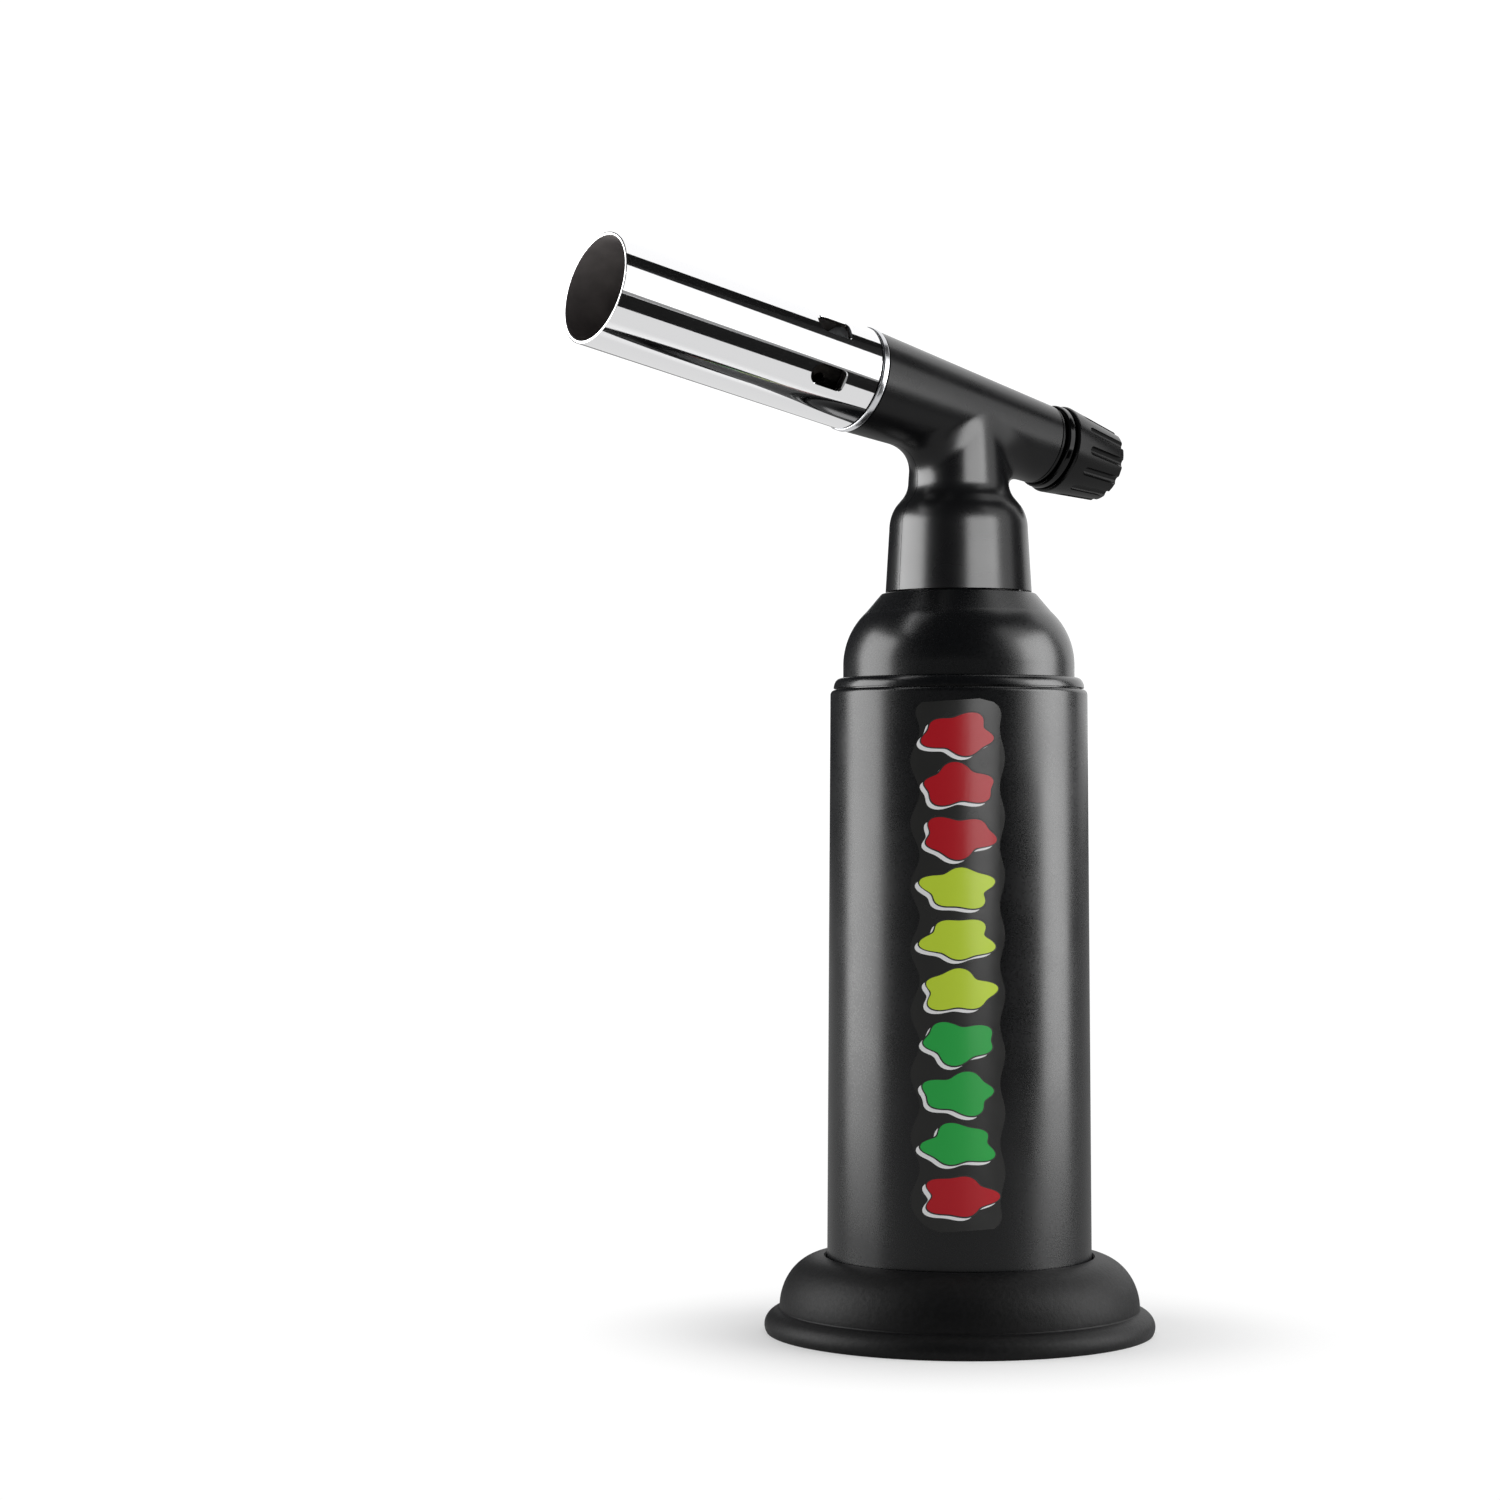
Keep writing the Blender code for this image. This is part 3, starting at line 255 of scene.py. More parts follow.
def sooted_steel(name, colour, tint):
    """Bare steel dulled by the flame: soot hides its shine and leaves soft grey clouds."""
    made, tree, shader, coordinates = surface(name, colour, 0.6, 0.15)
    clouds = speckle(tree, coordinates, 7.0, 4.0)
    tree.links.new(two_tones(tree, clouds, tint, colour), shader.inputs["Base Color"])
    tree.links.new(spread(tree, clouds, 0.5, 0.75), shader.inputs["Roughness"])
    return made


def cast_zinc(name, colour):
    """Zinc casting: dull grey, faintly pitted."""
    made, tree, shader, coordinates = surface(name, colour, 0.5, 1.0)
    pits = speckle(tree, coordinates, 0.7, 4.0)
    emboss(tree, shader, pits, 0.03, 0.6)
    tree.links.new(two_tones(tree, pits, dimmed(colour, 0.7), colour), shader.inputs["Base Color"])
    return made


def soft_rubber(name, colour, roughness=0.55):
    """Moulded nitrile or silicone: dull, with a faint bloom."""
    made, tree, shader, coordinates = surface(name, colour, roughness)
    bloom = speckle(tree, coordinates, 1.2, 4.0)
    tree.links.new(
        two_tones(tree, bloom, dimmed(colour, 0.8), dimmed(colour, 1.5)), shader.inputs["Base Color"]
    )
    tree.links.new(spread(tree, bloom, roughness - 0.1, roughness + 0.1), shader.inputs["Roughness"])
    return made


def pressed_felt(name, colour):
    """Pressed wool felt: matted fibres and no gloss."""
    made, tree, shader, coordinates = surface(name, colour, 0.95, Sheen_Weight=0.4)
    fibres = add_node(
        tree, "TexNoise", {"Vector": coordinates, "Scale": 1 / (0.3 * MM), "Detail": 6.0, "Distortion": 2.5}
    ).outputs["Fac"]
    emboss(tree, shader, fibres, 0.15, 0.8)
    tree.links.new(two_tones(tree, fibres, dimmed(colour, 0.7), colour), shader.inputs["Base Color"])
    return made


def glazed_ceramic(name, colour):
    """Glazed steatite: an off-white body under a clear, slightly wavy glaze."""
    made, tree, shader, coordinates = surface(name, colour, 0.4, Coat_Weight=0.8, Coat_Roughness=0.08)
    body = speckle(tree, coordinates, 0.8, 4.0)
    tree.links.new(two_tones(tree, body, dimmed(colour, 0.86), colour), shader.inputs["Base Color"])
    return made


def vinyl_film(name, colour, roughness=0.22):
    """Laminated vinyl film, whose surface waves very slightly over the paint below it."""
    made, tree, shader, coordinates = surface(name, colour, roughness)
    emboss(tree, shader, speckle(tree, coordinates, 2.5, 3.0), 0.02, 0.4)
    haze = speckle(tree, coordinates, 5.0)
    tree.links.new(spread(tree, haze, roughness - 0.05, roughness + 0.1), shader.inputs["Roughness"])
    return made


def banded_ink(name, bands, low_z, high_z):
    """Screen-printed inks, each from its own share of the label's height up to the next one's."""
    made, tree, shader, coordinates = surface(name, bands[0][1], 0.24)
    up = add_node(tree, "SeparateXYZ", {"Vector": coordinates}).outputs["Z"]
    share = add_node(tree, "MapRange", {"Value": up, "From Min": low_z, "From Max": high_z}).outputs["Result"]
    ramp = add_node(tree, "ValToRGB", {"Fac": share})
    ramp.color_ramp.interpolation = "CONSTANT"
    stops = ramp.color_ramp.elements
    stops.remove(stops[1])
    stops[0].color = (*bands[0][1], 1.0)
    for place, colour in bands[1:]:
        stops.new(place).color = (*colour, 1.0)
    tree.links.new(ramp.outputs["Color"], shader.inputs["Base Color"])
    emboss(tree, shader, speckle(tree, coordinates, 0.5), 0.006, 0.5)
    return made


# ---------------------------------------------------------------- shapes


def arc(centre, radii, start, end, steps):
    """Points of an elliptical arc, its angles in degrees from the outward direction."""
    points = []
    for step in range(steps + 1):
        angle = math.radians(start + (end - start) * step / steps)
        points.append((centre[0] + radii[0] * math.cos(angle), centre[1] + radii[1] * math.sin(angle)))
    return points


def rounded(corners, steps=5):
    """An outline with rounded corners, each given as (radius, height, rounding)."""
    outline = []
    for number, (x, z, rounding) in enumerate(corners):
        here = Vector((x, z))
        before = (Vector(corners[number - 1][:2]) - here).normalized()
        after = (Vector(corners[(number + 1) % len(corners)][:2]) - here).normalized()
        opening = before.angle(after)
        if rounding == 0.0:
            outline.append((x, z))
            continue
        setback = rounding / math.tan(opening / 2)
        middle = here + (before + after).normalized() * (rounding / math.sin(opening / 2))
        start = here + before * setback - middle
        end = here + after * setback - middle
        for step in range(steps + 1):
            leaning = start.lerp(end, step / steps)
            point = middle + leaning.normalized() * rounding
            outline.append((point.x, point.y))
    return outline


def spun(outline, steps=FINE):
    """A solid turned round the Z axis from a closed outline."""
    bm = bmesh.new()
    ring = [bm.verts.new((max(radius, 0.0), 0.0, height)) for radius, height in outline]
    for first, second in zip(ring, ring[1:] + ring[:1]):
        if max(first.co.x, second.co.x) > 1e-6:
            bm.edges.new((first, second))
    bmesh.ops.spin(
        bm, geom=bm.verts[:] + bm.edges[:], cent=(0, 0, 0), axis=(0, 0, 1), angle=math.tau,
        steps=steps, use_merge=True,
    )
    bmesh.ops.remove_doubles(bm, verts=bm.verts, dist=1e-4)
    bmesh.ops.recalc_face_normals(bm, faces=bm.faces)
    return bm


def prism(outline, low, high):
    """An outline in the XY plane, extruded up the Z axis from one height to another."""
    bm = bmesh.new()
    floor = bm.faces.new([bm.verts.new((x, y, low)) for x, y in outline])
    grown = bmesh.ops.extrude_face_region(bm, geom=[floor])
    lifted = [item for item in grown["geom"] if isinstance(item, bmesh.types.BMVert)]
    bmesh.ops.translate(bm, verts=lifted, vec=(0.0, 0.0, high - low))
    bmesh.ops.recalc_face_normals(bm, faces=bm.faces)
    return bm


def joined(parts):
    """Several bmeshes as one, without merging them."""
    whole = bmesh.new()
    for part in parts:
        mesh = bpy.data.meshes.new("part")
        part.to_mesh(mesh)
        part.free()
        whole.from_mesh(mesh)
        bpy.data.meshes.remove(mesh)
    return whole


def moved(bm, matrix):
    bmesh.ops.transform(bm, matrix=matrix, verts=bm.verts)
    return bm


def evaluated(bm, kind, other=None, **settings):
    """The bmesh as one modifier leaves it, with another bmesh as the modifier's object if it takes one."""
    helpers = []
    for shape in filter(None, (bm, other)):
        mesh = bpy.data.meshes.new("helper")
        shape.to_mesh(mesh)
        shape.free()
        helpers.append(bpy.data.objects.new("helper", mesh))
        bpy.context.scene.collection.objects.link(helpers[-1])
    modifier = helpers[0].modifiers.new("shaping", kind)
    for name, value in settings.items():
        setattr(modifier, name, value)
    if other:
        modifier.object = helpers[1]
    graph = bpy.context.evaluated_depsgraph_get()
    result = bmesh.new()
    result.from_mesh(helpers[0].evaluated_get(graph).to_mesh())
    for helper in helpers:
        mesh = helper.data
        bpy.data.objects.remove(helper)
        bpy.data.meshes.remove(mesh)
    return result


def carved(bm, cutter):
    return evaluated(bm, "BOOLEAN", cutter, operation="DIFFERENCE", solver="EXACT")


def finish_piece(bm, name, place, material, body, nodes, sharp=34.0):
    """Makes a shown piece of a bmesh in millimetres round its axis, puts it under its body and hides the
    imported parts that it stands for.
    """
    bmesh.ops.remove_doubles(bm, verts=bm.verts, dist=2e-4)
    bmesh.ops.recalc_face_normals(bm, faces=bm.faces)
    bmesh.ops.transform(bm, matrix=place @ Matrix.Scale(MM, 4), verts=bm.verts)
    mesh = bpy.data.meshes.new(name)
    bm.to_mesh(mesh)
    bm.free()
    mesh.shade_smooth()
    mesh.set_sharp_from_angle(angle=math.radians(sharp))
    mesh.materials.append(material)
    piece = bpy.data.objects.new(name, mesh)
    bpy.context.scene.collection.objects.link(piece)
    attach(piece, body)
    if nodes:
        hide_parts(*nodes)
    return piece


def true_normals(piece, direction_of):
    """Corner normals taken from the true surface wherever a face lies on it, so that it reflects cleanly."""
    mesh = piece.data
    points = np.array([vertex.co for vertex in mesh.vertices])
    directions = direction_of(points)
    normals = np.array([corner.vector for corner in mesh.corner_normals])
    for face in mesh.polygons:
        for loop in face.loop_indices:
            direction = directions[mesh.loops[loop].vertex_index]
            facing = direction @ np.array(face.normal)
            if abs(facing) > 0.86:
                normals[loop] = direction * math.copysign(1.0, facing)
    mesh.normals_split_custom_set(normals)


def away_from_axis(place):
    """The direction straight out from an axis, for points in metres."""
    inverse = np.array(place.inverted())
    turn = np.array(place)[:3, :3]

    def direction_of(points):
        local = points @ inverse[:3, :3].T + inverse[:3, 3]
        local[:, 2] = 0.0
        local /= np.maximum(np.linalg.norm(local, axis=1, keepdims=True), 1e-9)
        return local @ turn.T

    return direction_of


# ---------------------------------------------------------------- settings


def length(name, description, millimetres):
    return FloatProperty(
        name=name, description=description, default=millimetres * MM, min=0.0, unit="LENGTH",
        subtype="DISTANCE", precision=5,
    )


def shade(name, description, hex_colour):
    return FloatVectorProperty(
        name=name, description=description, default=linear(hex_colour), min=0.0, max=1.0, subtype="COLOR",
    )


class TorchBody(bpy.types.PropertyGroup):
    foot_colour: shade("Foot", "Rubber of the foot", "#0b0b0c")
    casing_colour: shade("Casing", "Lacquer of the casing and the shoulder", "#07080a")
    foot_grain: length("Foot grain", "Width of one pebble of the foot's grain", 0.9)
    lip_round: length("Edge rounding", "Rounding of the casing's top edge", 1.0)


class TorchHead(bpy.types.PropertyGroup):
    colour: shade("Head", "Plastic of the head shell and the knob", "#040405")
    chrome: shade("Chrome", "Plate of the burner sleeve", "#eeeeef")
    waist_height: length("Waist height", "Height of the neck's narrowest place", 171.6)
    waist_radius: length("Waist radius", "Radius of the neck's narrowest place", 10.2)
    back_radius: length("Barrel back", "Radius of the barrel at its back end", 8.2)
    fillet_ends: length("Fillet ends", "Blend of neck and barrel in front and behind", 6.5)
    fillet_sides: length("Fillet sides", "Blend of neck and barrel on either side", 1.3)
    parting: length("Parting line", "Width of the line between the two halves", 0.12)
    window_width: length("Window width", "Width of an air window", 4.2)
    window_length: length("Window length", "Length of an air window", 7.5)
    window_setback: length("Window setback", "From the sleeve's back end to its windows", 7.5)
    window_high: FloatProperty(
        name="Upper windows", description="Turn of the two upper windows from the top",
        default=math.radians(53.5), subtype="ANGLE",
    )
    window_low: FloatProperty(
        name="Lower windows", description="Turn of the two lower windows from the top",
        default=math.radians(113.5), subtype="ANGLE",
    )
    flute_count: IntProperty(name="Flutes", description="Grooves round the knob", default=12, min=3)
    flute_width: length("Flute width", "Width of a groove", 1.9)


class TorchLabel(bpy.types.PropertyGroup):
    film: shade("Film", "Black film of the label", "#252524")
    white: shade("White", "Ink under the coloured marks", "#ececec")
    red: shade("Red", "Ink of the top and bottom marks", "#b3121f")
    lime: shade("Lime", "Ink of the upper middle marks", "#c3dc3a")
    green: shade("Green", "Ink of the lower middle marks", "#27a848")
    mark_count: IntProperty(name="Marks", description="Printed marks along the label", default=10, min=1)


class TorchStage(bpy.types.PropertyGroup):
    floor: shade("Floor", "Floor under the torch", "#f4f4f4")
    lens: FloatProperty(name="Lens", description="Focal length in millimetres", default=83.1)
    distance: length("Distance", "From the camera to the tank's axis", 703.0)
    eye_height: length("Eye height", "Height of the camera above the floor", 106.2)
    camera_turn: FloatProperty(
        name="Camera turn", description="Where the camera stands round the torch",
        default=math.radians(-36.46), subtype="ANGLE",
    )
    aim_turn: FloatProperty(
        name="Aim", description="Turn of the camera away from the tank's axis", default=math.radians(3.45),
        subtype="ANGLE",
    )
    pitch: FloatProperty(
        name="Pitch", description="Upward turn of the camera", default=math.radians(0.91), subtype="ANGLE"
    )


# ---------------------------------------------------------------- foot, casing and shoulder


class TorchFoot(bpy.types.Operator):
    """Models the moulded rubber foot: a rounded flange, a waist and a fat bead round the casing"""

    bl_idname = "torch.foot"
    bl_label = "Foot"

    def execute(self, context):
        sizes = context.scene.torch_body
        low, high, wide = span("foot", TANK)
        seat = span("casing", TANK)[0] - FIT
        wall = span("casing", TANK, high=seat + 2.0)[2] + FIT
        waist_z, waist_r = 4.8, 36.35
        recess = 20.0  # radius of the opening under the refill valve
        flange = arc((wide - 3.8, 1.4), (3.8, 3.2), -26, 70, 16)
        crease = [(waist_r + 0.12, waist_z - 0.22), (waist_r - 0.02, waist_z)]
        bead = arc((wall + 0.38, waist_z), (waist_r - wall - 0.38, high - waist_z), 1, 86, 30)
        lip = rounded([(wall + 0.3, high, 0.0), (wall, high - 0.35, 0.25), (wall, seat, 0.0)], 4)[:-1]
        inside = [(wall, seat), (recess, seat), (recess, low + 0.6), (recess + 0.6, low)]
        bm = spun(flange + crease + bead + lip + inside)
        rubber = grained_rubber("moulded_rubber_grained", sizes.foot_colour, sizes.foot_grain / MM, 0.05)
        finish_piece(bm, "foot_moulding", TANK, rubber, "torch", ["foot"])
        return {"FINISHED"}


class TorchCasing(bpy.types.Operator):
    """Models the lacquered casing, its quarter-round collar and the domed shoulder"""

    bl_idname = "torch.casing"
    bl_label = "Casing and shoulder"

    def execute(self, context):
        sizes = context.scene.torch_body
        lacquer = matte_lacquer("matte_lacquer_on_steel", sizes.casing_colour, 0.29)
        low, top, foot_r = span("casing", TANK)
        top_r = span("casing", TANK, low=top - 9.0)[2]
        edge = sizes.lip_round / MM
        wall = 1.25
        outline = [(foot_r, low)] + arc((top_r - edge, top - edge), (edge, edge), 0, 84, 12)
        outline += [(top_r - wall, top - 0.1), (foot_r - wall, low)]
        finish_piece(spun(outline), "casing_tube", TANK, lacquer, "torch", ["casing"])

        plug_low, collar_top, _ = span("casing_collar", TANK)
        base = top + FIT
        collar_r = span("casing_collar", TANK, low=base - 0.05)[2]
        inner = span("shoulder", TANK)[2] + 0.2
        edge = arc((inner + 0.25, base), (collar_r - inner - 0.25, collar_top - base), 0, 88, 14)
        edge += [(inner, collar_top - 0.25), (inner, plug_low), (top_r - wall - FIT, plug_low)]
        edge += [(top_r - wall - FIT, base - 0.05)]
        satin = matte_lacquer("satin_lacquer_on_collar", dimmed(sizes.casing_colour, 1.1), 0.26)
        finish_piece(
            spun(edge), "casing_trim_collar", TANK, satin, "torch", ["casing_collar"]
        )

        skirt, crown, radius = span("shoulder", TANK)
        mouth_r, lip_r = 12.6, 14.9  # the hole for the neck, and the flat round it
        bend_r, bend_z, bend_turn = 14.8, 134.5, 47  # the dome's own arc
        thick = 1.2
        outline = [(radius, skirt)] + arc((radius - bend_r, bend_z), (bend_r, bend_r), 0, bend_turn, 30)
        outline += rounded([(*outline[-1], 0.0), (lip_r + 0.75, crown - 0.15, 0.7), (lip_r, crown, 0.0)])[1:]
        outline += [(mouth_r, crown), (mouth_r, crown - thick), (lip_r - 0.2, crown - thick)]
        outline += arc((radius - bend_r, bend_z), (bend_r - thick, bend_r - thick), bend_turn, 0, 16)
        outline += [(radius - thick, skirt)]
        finish_piece(spun(outline), "shoulder_dome", TANK, lacquer, "torch", ["shoulder"])
        return {"FINISHED"}


# ---------------------------------------------------------------- label


def casing_radius(height):
    """The casing's outer radius at a height, in millimetres."""
    low, top, foot_r = span("casing", TANK)
    top_r = span("casing", TANK, low=top - 9.0)[2]
    return foot_r + (top_r - foot_r) * (height - low) / (top - low)


def wrapped(outline, lift, thickness):
    """A thin layer cut to an outline (across, up) and laid round the casing, centred on the label."""
    bm = bmesh.new()
    bm.faces.new([bm.verts.new((across, up, 0.0)) for across, up in outline])
    widths = [across for across, _ in outline]
    strip = 0.8  # width of one flat strip of the curved layer
    cuts = int((max(widths) - min(widths)) / strip)
    for cut in range(1, cuts):
        place = min(widths) + strip * cut
        geometry = bm.verts[:] + bm.edges[:] + bm.faces[:]
        bmesh.ops.bisect_plane(bm, geom=geometry, plane_co=(place, 0, 0), plane_no=(1, 0, 0))
    grown = bmesh.ops.extrude_face_region(bm, geom=bm.faces[:], use_keep_orig=True)
    upper = [item for item in grown["geom"] if isinstance(item, bmesh.types.BMVert)]
    bmesh.ops.translate(bm, verts=upper, vec=(0.0, 0.0, thickness))
    azimuth = label_azimuth()
    for vertex in bm.verts:
        across, up, raised = vertex.co
        base = casing_radius(up)
        radius = base + lift + raised
        angle = azimuth + across / base
        vertex.co = (radius * math.cos(angle), radius * math.sin(angle), up)
    return bm


def label_azimuth():
    offset = box_centre("label") - TANK.translation
    return math.atan2(offset.y, offset.x)


def film_outline(low, high, half_width):
    """The label's die-cut outline: lobed sides, and round ends."""
    points = []
    steps = 150
    straight = 0.92  # the share of its half length where the film keeps its full width
    for side, lobe_depth, lobe_count in ((1, 0.055, 9), (-1, 0.1, 8.5)):
        for step in range(steps):
            share = step / steps if side > 0 else 1.0 - step / steps
            lobes = lobe_depth * math.cos(share * math.tau * lobe_count)
            into_end = max(0.0, (abs(1.0 - 2.0 * share) - straight) / (1.0 - straight))
            end = math.sqrt(max(0.0, 1.0 - into_end**2))
            width = half_width * (0.9 + lobes) * (0.45 + 0.55 * end)
            points.append((side * width, low + (high - low) * (1.0 - share)))
    return points


def mark_outline(number, centre, grow, shift=(0.0, 0.0)):
    """One printed mark: a soft splash with a few drips, different for each number."""
    points = []
    steps = 72
    half_across, half_up = 6.6, 3.8
    lean = number * 1.7
    for step in range(steps):
        angle = math.tau * step / steps
        reach = 1.0 + 0.1 * math.cos(3 * angle + lean) + 0.12 * math.cos(5 * angle - 2 * lean)
        across = (half_across * reach + grow) * math.cos(angle)
        up = (half_up * reach + grow) * math.sin(angle)
        points.append((across + shift[0], centre + up + shift[1]))
    return points


class TorchLabelPieces(bpy.types.Operator):
    """Models the die-cut label: black film, white under-print and coloured splashes"""

    bl_idname = "torch.label"
    bl_label = "Label"

    def execute(self, context):
        inks = context.scene.torch_label
        low, high, _ = span("label", TANK)
        half_width = 9.6
        film = wrapped(film_outline(low, high, half_width), 0.12, 0.07)
        plain = vinyl_film("laminated_vinyl_black", inks.film)
        finish_piece(film, "label_film", TANK, plain, "torch", ["label"])
        margin = 2.0
        pitch = (high - low - 2 * margin) / inks.mark_count
        white = vinyl_film("screen_ink_white", inks.white, 0.3)
        black = vinyl_film("screen_ink_black", inks.film, 0.3)
        bands = ((0.0, inks.red), (0.117, inks.green), (0.4, inks.lime), (0.685, inks.red))
        coloured = banded_ink("screen_ink_coloured", bands, low * MM, high * MM)
        layers = (
            ("label_white_print", white, 0.19, 0.1, (-0.8, -0.7)),
            ("label_black_keyline", black, 0.205, 0.3, (0.0, 0.0)),
            ("label_colour_print", coloured, 0.22, 0.0, (0.0, 0.0)),
        )
        for name, ink, lift, grow, shift in layers:
            marks = []
            for number in range(inks.mark_count):
                centre = low + margin + pitch * (number + 0.5)
                marks.append(wrapped(mark_outline(number, centre, grow, shift), lift, 0.02))
            finish_piece(joined(marks), name, TANK, ink, "torch", [])
        return {"FINISHED"}


# ---------------------------------------------------------------- head shell


def neck_outline(sizes):
    """The neck's outer skin as (radius, height) points, from its foot up into the barrel."""
    foot_z = span("shoulder", TANK)[1] + FIT
    foot_r = span("head_shell_left", TANK, foot_z - 0.1, foot_z + 1.0)[2]
    waist_r, waist_z = sizes.waist_radius / MM, sizes.waist_height / MM
    turn_z = 161.9
    points = [(foot_r, foot_z - 4.0), (foot_r, foot_z)]
    points += arc((foot_r - 5.6, turn_z), (4.85, 6.9), 0, 50, 40)
    points += arc((waist_r + 5.2, waist_z), (5.2, 5.2), 220, 180, 40)
    points += [(waist_r - 0.25, waist_z + 3.6), (waist_r - 1.1, HEAD_PLACE.z / MM)]
    return points + [(waist_r - 2.2, HEAD_PLACE.z / MM + 2.8), (waist_r - 4.2, HEAD_PLACE.z / MM + 3.6)]


def head_field(points, neck, barrel, sizes):
    """How far points round the tank, in millimetres, stand out from the blended neck and barrel."""
    heights = np.array([height for _, height in neck])
    radii = np.array([radius for radius, _ in neck])
    top = heights[-1]
    round_tank = np.hypot(points[:, 0], points[:, 1])
    to_neck = round_tank - np.interp(points[:, 2], heights, radii)
    to_neck = np.maximum(to_neck * 0.97, points[:, 2] - top)
    to_head = np.array(HEAD.inverted() @ TANK)
    local = points @ to_head[:3, :3].T + to_head[:3, 3] / MM
    (back_s, back_r), (front_s, front_r) = barrel
    share = (local[:, 2] - back_s) / (front_s - back_s)
    to_barrel = np.hypot(local[:, 0], local[:, 1]) - (back_r + (front_r - back_r) * share)
    across = np.abs(points[:, 0]) / np.maximum(round_tank, 1e-6)
    ends, sides = sizes.fillet_ends / MM, sizes.fillet_sides / MM
    rise = np.clip((points[:, 2] - FADE_START) / (FADE_END - FADE_START), 0.0, 1.0)
    blend = (sides + (ends - sides) * across**2) * (1.0 - 0.95 * rise**2 * (3.0 - 2.0 * rise))
    overlap = np.maximum(blend - np.abs(to_neck - to_barrel), 0.0) / blend
    return np.minimum(to_neck, to_barrel) - overlap**2 * blend / 4


def field_slope(points, neck, barrel, sizes, step=0.01):
    """The field's direction of steepest rise, by central differences."""
    shape = (neck, barrel, sizes)
    slope = np.empty_like(points)
    for axis in range(3):
        offset = np.zeros(3)
        offset[axis] = step
        slope[:, axis] = head_field(points + offset, *shape) - head_field(points - offset, *shape)
    return slope / (2 * step)


def blended_skin(neck, barrel, sizes):
    """The head's whole outer skin as an even mesh that lies on the blended surface, still closed at its ends.
    """
    (back_s, back_r), (front_s, front_r) = barrel
    column = spun([(0.0, neck[-1][1])] + neck[::-1] + [(0.0, neck[0][1])], MEDIUM)
    bore = 3.0
    tube = [(0.0, front_s + bore), (front_r, front_s + bore), (back_r, back_s - bore), (0.0, back_s - bore)]
    tube = moved(spun(tube, MEDIUM), Matrix.Translation(HEAD.translation / MM) @ HEAD.to_3x3().to_4x4())
    tube = moved(tube, Matrix.Translation(-TANK.translation / MM))
    solid = evaluated(column, "BOOLEAN", tube, operation="UNION", solver="EXACT")
    skin = evaluated(solid, "REMESH", mode="VOXEL", voxel_size=0.42)
    points = np.array([vertex.co for vertex in skin.verts])
    for _ in range(4):
        slope = field_slope(points, neck, barrel, sizes)
        size = np.maximum((slope**2).sum(axis=1, keepdims=True), 0.25)
        points -= head_field(points, neck, barrel, sizes)[:, None] * slope / size
    for vertex, point in zip(skin.verts, points):
        vertex.co = point
    return skin


def trimmed(bm, place, outward):
    """The bmesh with everything beyond a plane taken off."""
    geometry = bm.verts[:] + bm.edges[:] + bm.faces[:]
    bmesh.ops.bisect_plane(bm, geom=geometry, plane_co=place, plane_no=outward, clear_outer=True, dist=1e-5)
    return bm


def walled(bm, wall, shape):
    """Closes an open skin with an inner wall, which lies that far inside the blended surface."""
    grown = bmesh.ops.extrude_face_region(bm, geom=bm.faces[:], use_keep_orig=True)
    inner = [item for item in grown["geom"] if isinstance(item, bmesh.types.BMVert)]
    slope = field_slope(np.array([vertex.co for vertex in inner]), *shape)
    slope /= np.linalg.norm(slope, axis=1, keepdims=True)
    for vertex, direction in zip(inner, slope):
        vertex.co -= Vector(direction) * wall
    bmesh.ops.recalc_face_normals(bm, faces=bm.faces)


class TorchHeadShell(bpy.types.Operator):
    """Models the two halves of the head: a neck that flows into the barrel, with a fine parting line"""

    bl_idname = "torch.head_shell"
    bl_label = "Head shell"

    def execute(self, context):
        sizes = context.scene.torch_head
        back_s = span("knob_band", HEAD)[1] + FIT
        front_s = span("head_shell_left", HEAD)[1]
        front_r = span("head_shell_left", HEAD, low=front_s - 1.0)[2]
        back_r = sizes.back_radius / MM
        barrel = ((back_s, back_r), (front_s, front_r))
        neck = neck_outline(sizes)
        shape = (neck, barrel, sizes)
        plastic = moulded_plastic("moulded_abs_satin_black", sizes.colour, 0.27)
        foot_z = neck[1][1]
        trim = 1.2  # the end ring's share of the barrel
        wall = 1.6
        tank_to_head = TANK.inverted() @ HEAD
        forward = tank_to_head.to_3x3() @ Vector((0.0, 0.0, 1.0))
        middle = tank_to_head.translation / MM
        whole = blended_skin(*shape)
        trimmed(whole, middle + forward * (front_s - 0.02), forward)
        trimmed(whole, middle + forward * (back_s + trim), -forward)
        trimmed(whole, (0.0, 0.0, foot_z), (0.0, 0.0, -1.0))
        half_gap = sizes.parting / MM / 2
        for side, name in ((-1, "head_shell_left"), (1, "head_shell_right")):
            half = whole.copy()
            trimmed(half, (0.0, side * half_gap, 0.0), (0.0, -side, 0.0))
            walled(half, wall, shape)
            if side > 0:
                half = carved(half, shell_holes())
            piece = finish_piece(
                half, name + "_moulding", TANK, plastic, "torch", [name], sharp=50.0
            )
            true_normals(piece, lambda points: surface_direction(points, shape))
        whole.free()
        spigot_low, _, spigot_r = span("head_shell_left", TANK, high=foot_z - 0.5)
        spigot = rounded([
            (spigot_r, spigot_low, 0.3), (spigot_r, foot_z + 1.0, 0.0), (spigot_r - wall, foot_z + 1.0, 0.0),
            (spigot_r - wall, spigot_low, 0.3),
        ])
        finish_piece(spun(spigot), "head_spigot", TANK, plastic, "torch", [])
        ring = rounded([
            (back_r, back_s + trim - 0.22, 0.18), (back_r - 0.15, back_s, 0.5), (3.4, back_s, 0.0),
            (3.4, back_s + trim - 0.22, 0.0),
        ])
        finish_piece(spun(ring), "head_end_ring", HEAD, plastic, "torch", [])
        return {"FINISHED"}


